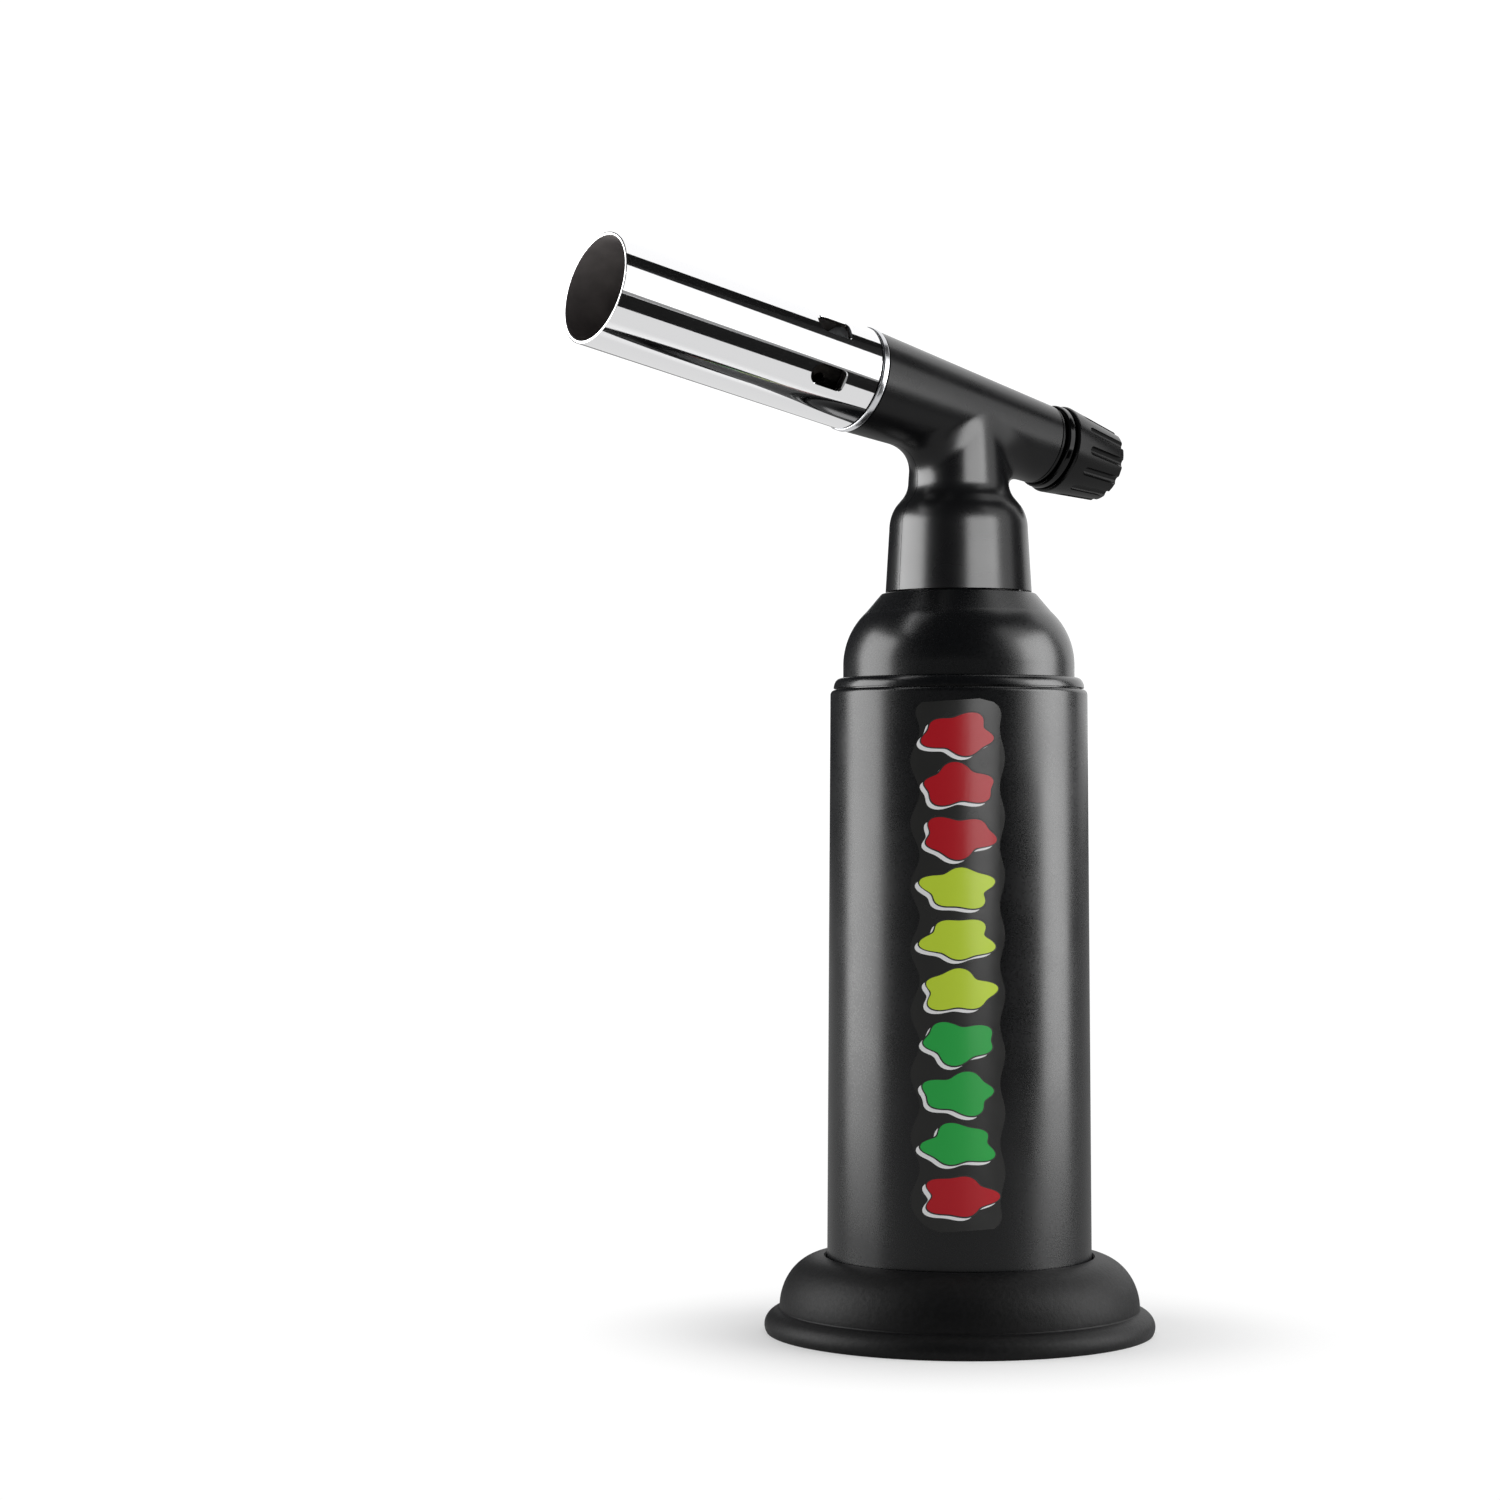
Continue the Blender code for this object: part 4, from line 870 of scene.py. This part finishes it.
def surface_direction(points, shape):
    """The outward direction of the head's blended surface, for points in metres."""
    slope = field_slope(points / MM - np.array(TANK.translation) / MM, *shape, step=0.25)
    return slope / np.linalg.norm(slope, axis=1, keepdims=True)


def shell_holes():
    """Cutters for the screw seats and the button's hole in the right half."""
    parts = []
    seats = [(f"shell_screw_{number}", 2.0, 48) for number in (1, 2, 3)] + [("igniter_button", 12.0, 64)]
    for node, outer_end, sides in seats:
        place = TANK.inverted() @ sideways(node)
        radius = span(node, sideways(node), low=outer_end)[2] + FIT
        hole = spun([(0.0, 2.0), (radius, 2.0), (radius, 30.0), (0.0, 30.0)], sides)
        parts.append(moved(hole, Matrix.Translation(place.translation / MM) @ place.to_3x3().to_4x4()))
    return joined(parts)


class TorchScrews(bpy.types.Operator):
    """Models the cross-head screws of the shell and the slotted screw in the knob"""

    bl_idname = "torch.screws"
    bl_label = "Screws"

    def execute(self, context):
        plated = turned_metal("zinc_plated_steel", linear("#b9bbbe"), 0.3)
        for number in (1, 2, 3):
            node = f"shell_screw_{number}"
            place = sideways(node)
            low, top, radius = span(node, place)
            shank = span(node, place, high=0.0)[2]
            outline = rounded([
                (0.0, top, 0.0), (radius, top - 0.1, 0.45), (radius, top - 1.3, 0.0), (shank, top - 1.3, 0.0),
                (shank, low + 0.6, 0.0), (0.0, low, 0.0),
            ])
            screw = carved(spun(outline, MEDIUM), cross_recess(top, 1.0, 0.34, 0.8))
            finish_piece(screw, f"{node}_finished", place, plated, "torch", [node])
        low, high, radius = span("knob_screw", HEAD)
        shank = span("knob_screw", HEAD, low=high - 1.0)[2]
        outline = rounded([
            (0.0, low, 0.0), (radius, low + 0.05, 0.35), (radius, low + 1.3, 0.0), (shank, low + 1.3, 0.0),
            (shank, high, 0.0), (0.0, high, 0.0),
        ])
        slot = [(-3.0, -0.25), (3.0, -0.25), (3.0, 0.25), (-3.0, 0.25)]
        screw = carved(spun(outline, MEDIUM), prism(slot, low - 1.0, low + 0.6))
        finish_piece(screw, "knob_screw_finished", HEAD, plated, "knob", ["knob_screw"])
        return {"FINISHED"}


def cross_recess(top, reach, half, depth):
    """The cutter of a cross recess in a screw's head."""
    outline = []
    for quarter in range(4):
        turn = Matrix.Rotation(math.pi / 2 * quarter, 2)
        for point in ((half, half), (half, reach), (-half, reach)):
            turned = turn @ Vector(point)
            outline.append((turned.x, turned.y))
    return prism(outline[::-1], top - depth, top + 1.0)


# ---------------------------------------------------------------- burner


def window_cutters(sizes, back_s, radius):
    """Cutters of the air windows, round in front and square behind, that leave a fine chamfer."""
    half = sizes.window_width / MM / 2
    start = back_s + sizes.window_setback / MM
    corner = 0.8
    outline = arc((0.0, start + sizes.window_length / MM - half), (half, half), 0, 180, 20)
    outline += arc((corner - half, start + corner), (corner, corner), 180, 270, 6)
    outline += arc((half - corner, start + corner), (corner, corner), 270, 360, 6)
    flare = Matrix.Diagonal((1.0, (half + 0.6) / half, 1.0 + 1.2 / (sizes.window_length / MM), 1.0))
    centre = Vector((0.0, 0.0, start + sizes.window_length / MM / 2))
    parts = []
    for turn in (sizes.window_high, sizes.window_low, -sizes.window_high, -sizes.window_low):
        bm = bmesh.new()
        face = bm.faces.new([bm.verts.new((radius - 4.0, side, along)) for side, along in outline])
        for rise in (3.78, 0.6):
            below = face
            grown = bmesh.ops.extrude_face_region(bm, geom=[face])
            verts = [item for item in grown["geom"] if isinstance(item, bmesh.types.BMVert)]
            face = next(item for item in grown["geom"] if isinstance(item, bmesh.types.BMFace))
            bmesh.ops.translate(bm, verts=verts, vec=(rise, 0.0, 0.0))
        bm.faces.remove(below)
        bmesh.ops.translate(bm, verts=verts, vec=-centre)
        bmesh.ops.transform(bm, matrix=flare, verts=verts)
        bmesh.ops.translate(bm, verts=verts, vec=centre)
        bmesh.ops.recalc_face_normals(bm, faces=bm.faces)
        parts.append(moved(bm, Matrix.Rotation(-turn, 4, "Z")))
    return joined(parts)


class TorchSleeve(bpy.types.Operator):
    """Models the chromed burner sleeve with its air windows, and the bright ring behind it"""

    bl_idname = "torch.sleeve"
    bl_label = "Burner sleeve"

    def execute(self, context):
        sizes = context.scene.torch_head
        back_s, front_s, front_r = span("nozzle_sleeve", HEAD)
        back_r = span("nozzle_sleeve", HEAD, high=back_s + 0.5)[2]
        wall = 0.8
        outline = rounded([
            (back_r - wall, back_s, 0.1), (back_r, back_s, 0.2), (front_r, front_s, 0.3),
            (front_r - wall, front_s, 0.3),
        ])
        sleeve = carved(spun(outline), window_cutters(sizes, back_s, back_r))
        chrome = chrome_plate("chrome_plate_bright", sizes.chrome)
        piece = finish_piece(
            sleeve, "burner_sleeve", HEAD, chrome, "torch", ["nozzle_sleeve"]
        )
        directions = away_from_axis(HEAD)
        true_normals(piece, directions)
        piece.data.materials.append(sooted_steel("sleeve_bore_sooted", linear("#8b8684"), linear("#6b6666")))
        for face in piece.data.polygons:
            outward = directions(np.array([face.center]))[0]
            if Vector(outward).dot(face.normal) < -0.5:
                face.material_index = 1

        low, high, radius = span("nozzle_ring", HEAD)
        inner = span("nozzle_socket", HEAD, high=low)[2] + 0.1
        outline = rounded([(inner, low, 0.0), (radius, low, 0.3), (radius, high, 0.3), (inner, high, 0.0)])
        bright = turned_metal("turned_aluminium_bright", linear("#dcdde0"), 0.2, HEAD)
        finish_piece(spun(outline), "sleeve_ring", HEAD, bright, "torch", ["nozzle_ring"])
        return {"FINISHED"}


class TorchBurner(bpy.types.Operator):
    """Models the burner plate with its jets, and the ceramic tube round the spark electrode"""

    bl_idname = "torch.burner"
    bl_label = "Burner"

    def execute(self, context):
        low, high, radius = span("burner_plate", HEAD)
        centre = HEAD.inverted() @ box_centre("electrode_insulator") / MM
        outline = rounded([
            (0.0, high - 1.4, 0.0), (4.2, high - 1.4, 0.3), (4.6, high, 0.3), (radius, high, 0.4),
            (radius, low, 0.4), (0.0, low, 0.0),
        ])
        holes = [(0.0, 0.0, 1.1), (centre.x, centre.y, 1.3)]
        jets, jet_circle, jet_r = 6, 2.6, 0.65
        for number in range(jets):
            angle = math.tau * number / jets
            holes.append((jet_circle * math.cos(angle), jet_circle * math.sin(angle), jet_r))
        cutters = []
        for x, y, hole_r in holes:
            drill = spun([(0.0, low - 2), (hole_r, low - 2), (hole_r, high + 2), (0.0, high + 2)], 32)
            cutters.append(moved(drill, Matrix.Translation((x, y, 0))))
        plate = carved(spun(outline), joined(cutters))
        steel = heated_steel("burner_steel_heat_tinted", linear("#6f6a66"), linear("#4a4650"))
        finish_piece(plate, "burner_plate_finished", HEAD, steel, "torch", ["burner_plate"])

        place = HEAD @ Matrix.Translation((centre.x * MM, centre.y * MM, 0.0))
        low, high, radius = span("electrode_insulator", place)
        outline = rounded([(0.55, low, 0.1), (radius, low, 0.25), (radius, high, 0.3), (0.55, high, 0.1)])
        ceramic = glazed_ceramic("glazed_steatite", linear("#e6e1d6"))
        finish_piece(
            spun(outline, 48), "spark_insulator", place, ceramic, "torch", ["electrode_insulator"]
        )
        return {"FINISHED"}


# ---------------------------------------------------------------- knob, band and button


class TorchKnob(bpy.types.Operator):
    """Models the fluted flow knob and the glossy band in front of it"""

    bl_idname = "torch.knob"
    bl_label = "Flow knob"

    def execute(self, context):
        sizes = context.scene.torch_head
        back_s, front_s, front_r = span("flow_knob", HEAD)
        back_r = span("flow_knob", HEAD, high=back_s + 0.6)[2]
        screw_low, _, screw_r = span("knob_screw", HEAD)
        bore = screw_r + 0.4
        outline = rounded([
            (7.0, front_s, 0.3), (front_r, front_s, 0.55), (back_r, back_s, 0.7), (back_r - 1.5, back_s, 0.3),
            (back_r - 1.9, back_s + 0.5, 0.3), (bore + 0.8, back_s + 0.5, 0.3), (bore, back_s + 1.0, 0.2),
            (bore, screw_low + 1.5, 0.0), (1.3, screw_low + 1.5, 0.0), (1.3, back_s + 10.8, 0.0),
            (3.4, back_s + 10.8, 0.3), (3.4, back_s + 8.3, 0.3), (7.0, back_s + 8.3, 0.4),
        ])
        half = sizes.flute_width / MM / 2
        slope = math.atan2(front_r - back_r, front_s - back_s)
        start = front_s - 3.6
        at_start = front_r - (front_s - start) * math.tan(slope)
        cutters = []
        for number in range(sizes.flute_count):
            groove = arc((0.0, -half), (half, half), 90, 0, 8) + [(half, -16.0), (0.0, -16.0)]
            groove = moved(spun(groove, 24), Matrix.Rotation(slope, 4, "Y"))
            groove = moved(groove, Matrix.Translation((at_start + 0.05, 0.0, start)))
            cutters.append(moved(groove, Matrix.Rotation(math.tau * number / sizes.flute_count, 4, "Z")))
        knob = carved(spun(outline), joined(cutters))
        plastic = moulded_plastic("moulded_abs_knob_black", sizes.colour, 0.25)
        finish_piece(knob, "flow_knob_moulding", HEAD, plastic, "knob", ["flow_knob"], 30.0)

        low, high, radius = span("knob_band", HEAD)
        outline = rounded([(3.4, low, 0.0), (radius, low, 0.5), (radius, high, 0.5), (3.4, high, 0.0)], 8)
        gloss = moulded_plastic("polished_abs_black", dimmed(sizes.colour, 0.8), 0.1, 1.5, 0.002)
        finish_piece(spun(outline), "gloss_band", HEAD, gloss, "torch", ["knob_band"])
        return {"FINISHED"}


class TorchButton(bpy.types.Operator):
    """Models the igniter's push button, with a shallow dish for the thumb"""

    bl_idname = "torch.button"
    bl_label = "Igniter button"

    def execute(self, context):
        sizes = context.scene.torch_head
        place = sideways("igniter_button")
        low, high, flange = span("igniter_button", place)
        radius = span("igniter_button", place, low=high - 2.0)[2]
        dish = arc((0.0, high + 6.0), (9.0, 6.6), -90, -76, 8)
        outline = dish + rounded([
            (radius - 0.9, high, 0.2), (radius, high, 0.8), (radius, low + 1.0, 0.0),
            (flange, low + 1.0, 0.2), (flange, low, 0.0),
        ]) + [(0.0, low)]
        plastic = moulded_plastic("moulded_abs_button_black", sizes.colour, 0.24)
        finish_piece(
            spun(outline, MEDIUM), "igniter_button_moulding", place, plastic, "igniter",
            ["igniter_button"],
        )
        return {"FINISHED"}


# ---------------------------------------------------------------- underside


class TorchRefillValve(bpy.types.Operator):
    """Models the brass refill valve in the foot's recess, and the tank's floor round it"""

    bl_idname = "torch.refill_valve"
    bl_label = "Refill valve"

    def execute(self, context):
        brass = turned_metal("turned_brass", linear("#c8a15a"), 0.28)
        low, high, flange = span("refill_valve_body", TANK)
        body_r = span("refill_valve_body", TANK, low=high - 1.2)[2] + 0.8
        outline = rounded([
            (1.8, low, 0.0), (3.2, low, 0.2), (3.4, low + 0.35, 0.0), (flange - 1.0, low + 0.35, 0.0),
            (flange - 0.8, low, 0.15), (flange, low, 0.3), (flange, low + 1.8, 0.2), (body_r, low + 1.8, 0.0),
            (body_r, high, 0.6), (0.7, high, 0.0), (0.7, high - 2.0, 0.0), (2.9, high - 2.0, 0.0),
            (2.9, low + 3.1, 0.0), (1.8, low + 3.1, 0.0),
        ])
        finish_piece(
            spun(outline, MEDIUM), "refill_valve_finished", TANK, brass, "torch",
            ["refill_valve_body"],
        )
        low, high, collar = span("refill_valve_stem", TANK)
        radius = span("refill_valve_stem", TANK, high=low + 1.0)[2]
        outline = rounded([
            (0.45, low + 0.8, 0.0), (0.45, low, 0.1), (radius, low, 0.4), (radius, 9.9, 0.0),
            (collar, 9.9, 0.15), (collar, 11.0, 0.15), (radius, 11.0, 0.0), (radius, high, 0.2),
            (0.0, high, 0.0), (0.0, low + 0.8, 0.0),
        ])
        finish_piece(
            spun(outline, MEDIUM), "refill_stem_finished", TANK, brass, "refill_stem",
            ["refill_valve_stem"],
        )
        low, high, radius = span("tank_base", TANK)
        inner = body_r + 0.6
        outline = rounded([
            (inner, low, 0.2), (flange + 0.5, low, 0.0), (radius - 3.0, low, 0.3),
            (radius - 2.6, low + 0.5, 0.3), (radius, low + 0.5, 0.2), (radius, high, 0.0), (inner, high, 0.0),
        ])
        nylon = moulded_plastic("moulded_nylon_black", linear("#101011"), 0.5)
        finish_piece(spun(outline), "tank_floor", TANK, nylon, "torch", ["tank_base"])
        return {"FINISHED"}


# ---------------------------------------------------------------- inner parts


class TorchSprings(bpy.types.Operator):
    """Makes the two coil springs into pieces of their own, copied from the imported coils, in spring steel"""

    bl_idname = "torch.springs"
    bl_label = "Springs"

    def execute(self, context):
        wire = turned_metal("drawn_spring_steel", linear("#b4b6ba"), 0.3, pitch_mm=1.2)
        springs = (
            ("refill_valve_spring", "refill_valve_press", 2, 1),
            ("piezo_spring", "igniter_press", 1, 0),
        )
        for node, name, direction, fixed_end in springs:
            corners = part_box(node)
            anchor = box_centre(node)
            anchor[direction] = corners[fixed_end][direction]
            bm = bmesh.new()
            bm.from_mesh(frame["nodes"][node].data)
            moved(bm, Matrix.Scale(1 / MM, 4))
            spring = finish_piece(
                bm, node + "_coil", Matrix.Identity(4), wire, "torch", [node], sharp=50.0
            )
            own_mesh(spring)
        return {"FINISHED"}


class TorchInnerParts(bpy.types.Operator):
    """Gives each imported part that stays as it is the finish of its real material"""

    bl_idname = "torch.inner_parts"
    bl_label = "Inner parts"

    def execute(self, context):
        brass = turned_metal("turned_brass_fittings", linear("#c8a15a"), 0.3)
        drawn = turned_metal("drawn_stainless_steel", linear("#c4c5c8"), 0.3, pitch_mm=1.2)
        nitrile = soft_rubber("moulded_nitrile", linear("#131313"))
        finishes = {
            "fuel_tank": moulded_plastic("natural_nylon", linear("#dcdad2"), 0.45),
            "fuel_wick": pressed_felt("pressed_wool_felt", linear("#d8cdb4")),
            "nozzle_socket": cast_zinc("cast_zinc", linear("#9b9da0")),
            "burner_tube": heated_steel("burner_tube_heat_tinted", linear("#8d8985"), linear("#5f5852")),
            "ignition_lead": soft_rubber("silicone_lead_red", linear("#9c1c1c"), 0.4),
            "piezo_body": moulded_plastic("moulded_piezo_case", linear("#7c1f18"), 0.4),
            "piezo_plunger": moulded_plastic("natural_acetal", linear("#e2e0da"), 0.35),
        }
        for node in ("outlet_fitting", "gas_jet", "valve_block", "valve_gland"):
            finishes[node] = brass
        for node in ("feed_tube", "electrode", "valve_needle"):
            finishes[node] = drawn
        for node in ("tank_neck_seal", "refill_valve_seal", "valve_o_ring"):
            finishes[node] = nitrile
        for node, finish in finishes.items():
            slots = frame["nodes"][node].material_slots
            if not slots:
                frame["nodes"][node].data.materials.append(finish)
            for slot in slots:
                slot.material = finish
        return {"FINISHED"}


# ---------------------------------------------------------------- stage


def sheet_of(name, width, depth, material):
    """A flat sheet for the stage, facing up at the origin, in metres."""
    bm = bmesh.new()
    bmesh.ops.create_grid(bm, x_segments=1, y_segments=1, size=0.5)
    bmesh.ops.scale(bm, verts=bm.verts, vec=(width, depth, 1.0))
    mesh = bpy.data.meshes.new(name)
    bm.to_mesh(mesh)
    bm.free()
    mesh.materials.append(material)
    made = bpy.data.objects.new(name, mesh)
    bpy.context.scene.collection.objects.link(made)
    return made


def softbox(name, place, aim, width, height, radiance, colour=(1.0, 1.0, 1.0)):
    """A rectangular lamp of an even brightness, hidden from the camera."""
    lamp = bpy.data.lights.new(name, "AREA")
    lamp.shape = "RECTANGLE"
    lamp.size = width
    lamp.size_y = height
    lamp.color = colour
    lamp.energy = radiance * math.pi * width * height
    made = bpy.data.objects.new(name, lamp)
    made.location = place
    made.rotation_euler = (Vector(aim) - Vector(place)).to_track_quat("-Z", "Y").to_euler()
    made.visible_camera = False
    bpy.context.scene.collection.objects.link(made)
    return made


def around(turn, distance, height):
    """A place round the tank's axis: the turn is from the camera's own direction, positive to its right."""
    angle = bpy.context.scene.torch_stage.camera_turn + turn
    return Vector((HEAD_PLACE.x + distance * math.sin(angle), -distance * math.cos(angle), height))


def light_only(lamp, state, pieces):
    """Makes a lamp light only these pieces, or everything but them."""
    group = bpy.data.collections.new("lit_by_" + lamp.name)
    for piece in pieces:
        group.objects.link(bpy.data.objects[piece])
    for entry in group.collection_objects:
        entry.light_linking.link_state = state
    lamp.light_linking.receiver_collection = group


def mirrored(from_top, distance, along=0.0):
    """A place that the sleeve mirrors towards the camera, at an angle from the head's top to the left."""
    angle = math.radians(from_top)
    low, high, _ = span("nozzle_sleeve", HEAD)
    back = (low + high) / 2 * MM - 0.63 * distance + along
    return HEAD @ Vector((distance * math.cos(angle), -distance * math.sin(angle), back))


def flag(name, at_back, at_front, distance):
    """A black card along the sleeve, between two angles at its back end and two at its front end."""
    black = bpy.data.materials.get("flag_black") or surface("flag_black", (0.0, 0.0, 0.0), 1.0)[0]
    card = sheet_of(name, 1.0, 1.0, black)
    corners = ((at_back[0], -0.11), (at_front[0], 0.11), (at_back[1], -0.11), (at_front[1], 0.11))
    for vertex, (angle, along) in zip(card.data.vertices, corners):
        vertex.co = mirrored(angle, distance, along)
    card.visible_camera = False
    card.visible_diffuse = False
    card.visible_shadow = False
    return card


def sweep_paper(colour):
    """White paper under the torch, which turns evenly bright further away, like a lit studio sweep."""
    made, tree, shader, coordinates = surface("matte_paper_white", colour, 0.9)
    away = add_node(
        tree, "VectorMath", {0: coordinates, 1: TANK.translation}, operation="DISTANCE"
    ).outputs["Value"]
    share = add_node(
        tree, "MapRange", {"Value": away, "From Min": 0.03, "From Max": 0.085, "To Min": 0.3},
        interpolation_type="SMOOTHSTEP",
    ).outputs["Result"]
    seen = add_node(tree, "LightPath").outputs["Is Camera Ray"]
    glow = add_node(
        tree, "Emission", {"Color": (1.0, 1.0, 1.0, 1.0), "Strength": spread(tree, seen, 0.3, 1.02)}
    )
    mix = add_node(tree, "MixShader", {0: share, 1: shader.outputs[0], 2: glow.outputs[0]})
    tree.links.new(mix.outputs[0], tree.nodes["Material Output"].inputs["Surface"])
    return made


class TorchStudio(bpy.types.Operator):
    """Sets up the floor, the softboxes, the black cards that the chrome mirrors, and the camera"""

    bl_idname = "torch.stage"
    bl_label = "Stage"

    def execute(self, context):
        stage = context.scene.torch_stage
        scene = context.scene
        sheet_of("floor", 12.0, 12.0, sweep_paper(stage.floor))
        middle = (HEAD_PLACE.x, 0, 0.12)
        key = softbox("key_right", around(math.radians(88), 0.5, 0.2), middle, 0.4, 0.46, 4.2)
        fill = softbox("fill_left", around(math.radians(-92), 0.5, 0.2), middle, 0.4, 0.46, 4.2)
        softbox("side_upper", mirrored(57, 1.0), mirrored(57, 0.0), 0.9, 1.25, 1.15)
        softbox("overhead", mirrored(-30, 1.0), mirrored(-30, 0.0), 1.5, 1.9, 1.1)
        head_right = softbox("head_right", around(math.radians(40), 0.6, 0.25), HEAD_PLACE, 0.58, 0.36, 6.5)
        head_left = softbox("head_left", around(math.radians(-84), 0.6, 0.25), HEAD_PLACE, 0.6, 0.36, 8.0)
        bounce = softbox("floor_bounce", (0.0, 0.0, 0.002), (0.0, 0.0, 1.0), 1.6, 1.6, 0.5)
        front = softbox("label_front", around(math.radians(25), 0.8, 0.3), middle, 0.5, 0.5, 3.2)
        prints = ("label_film", "label_white_print", "label_black_keyline", "label_colour_print")
        shells = ("head_shell_left_moulding", "head_shell_right_moulding")
        small = ("flow_knob_moulding", "gloss_band", "head_end_ring")
        for lamp, state, pieces in (
            (key, "EXCLUDE", shells + small),
            (fill, "EXCLUDE", shells + small),
            (head_right, "INCLUDE", shells),
            (head_left, "INCLUDE", shells),
            (bounce, "INCLUDE", ("burner_sleeve", "sleeve_ring")),
            (front, "INCLUDE", prints),
        ):
            light_only(lamp, state, pieces)
        flag("card_high", (-5, 36), (17, 42), 0.4)
        flag("card_middle", (92, 116), (101, 128), 0.25)

        world = bpy.data.worlds.new("studio")
        scene.world = world
        world.use_nodes = True
        tree = world.node_tree
        tree.nodes.clear()
        rays = add_node(tree, "LightPath")
        dim = add_node(tree, "Background", {"Color": (0.9, 0.93, 1.0, 1.0), "Strength": 0.04})
        white = add_node(tree, "Background", {"Color": (1.0, 1.0, 1.0, 1.0), "Strength": 1.1})
        seen = rays.outputs["Is Camera Ray"]
        mix = add_node(tree, "MixShader", {0: seen, 1: dim.outputs[0], 2: white.outputs[0]})
        add_node(tree, "OutputWorld", {"Surface": mix.outputs[0]})
        scene.view_settings.view_transform = "Standard"

        camera = bpy.data.cameras.new("camera")
        camera.lens = stage.lens
        camera.sensor_width = 36.0
        camera.clip_start = 0.01
        holder = bpy.data.objects.new("camera", camera)
        scene.collection.objects.link(holder)
        holder.location = around(0.0, stage.distance, stage.eye_height)
        look = stage.camera_turn + stage.aim_turn
        direction = Vector((-math.sin(look), math.cos(look), math.tan(stage.pitch)))
        holder.rotation_euler = direction.to_track_quat("-Z", "Y").to_euler()
        scene.camera = holder
        return {"FINISHED"}


# ---------------------------------------------------------------- panel and run


SETTINGS = (
    ("torch_body", TorchBody),
    ("torch_head", TorchHead),
    ("torch_label", TorchLabel),
    ("torch_stage", TorchStage),
)
STEPS = (
    TorchFoot, TorchCasing, TorchLabelPieces, TorchHeadShell, TorchScrews, TorchSleeve, TorchBurner,
    TorchKnob, TorchButton, TorchRefillValve, TorchSprings, TorchInnerParts, TorchStudio,
)


class TorchPanel(bpy.types.Panel):
    """Sizes and colours of the torch, and a button for each group of pieces"""

    bl_idname = "VIEW3D_PT_torch"
    bl_label = "Butane torch"
    bl_space_type = "VIEW_3D"
    bl_region_type = "UI"
    bl_category = "Torch"

    def draw(self, context):
        for group, kind in SETTINGS:
            box = self.layout.box()
            for name in kind.__annotations__:
                box.prop(getattr(context.scene, group), name)
        for step in STEPS:
            self.layout.operator(step.bl_idname)


def register():
    for group, kind in SETTINGS:
        bpy.utils.register_class(kind)
        setattr(bpy.types.Scene, group, PointerProperty(type=kind))
    for kind in STEPS + (TorchPanel,):
        bpy.utils.register_class(kind)


def unregister():
    for kind in (TorchPanel,) + STEPS[::-1]:
        bpy.utils.unregister_class(kind)
    for group, kind in SETTINGS[::-1]:
        delattr(bpy.types.Scene, group)
        bpy.utils.unregister_class(kind)


def main():
    register()
    for step in STEPS:
        getattr(bpy.ops.torch, step.bl_idname.split(".")[1])()


if __name__ == "__main__":
    main()
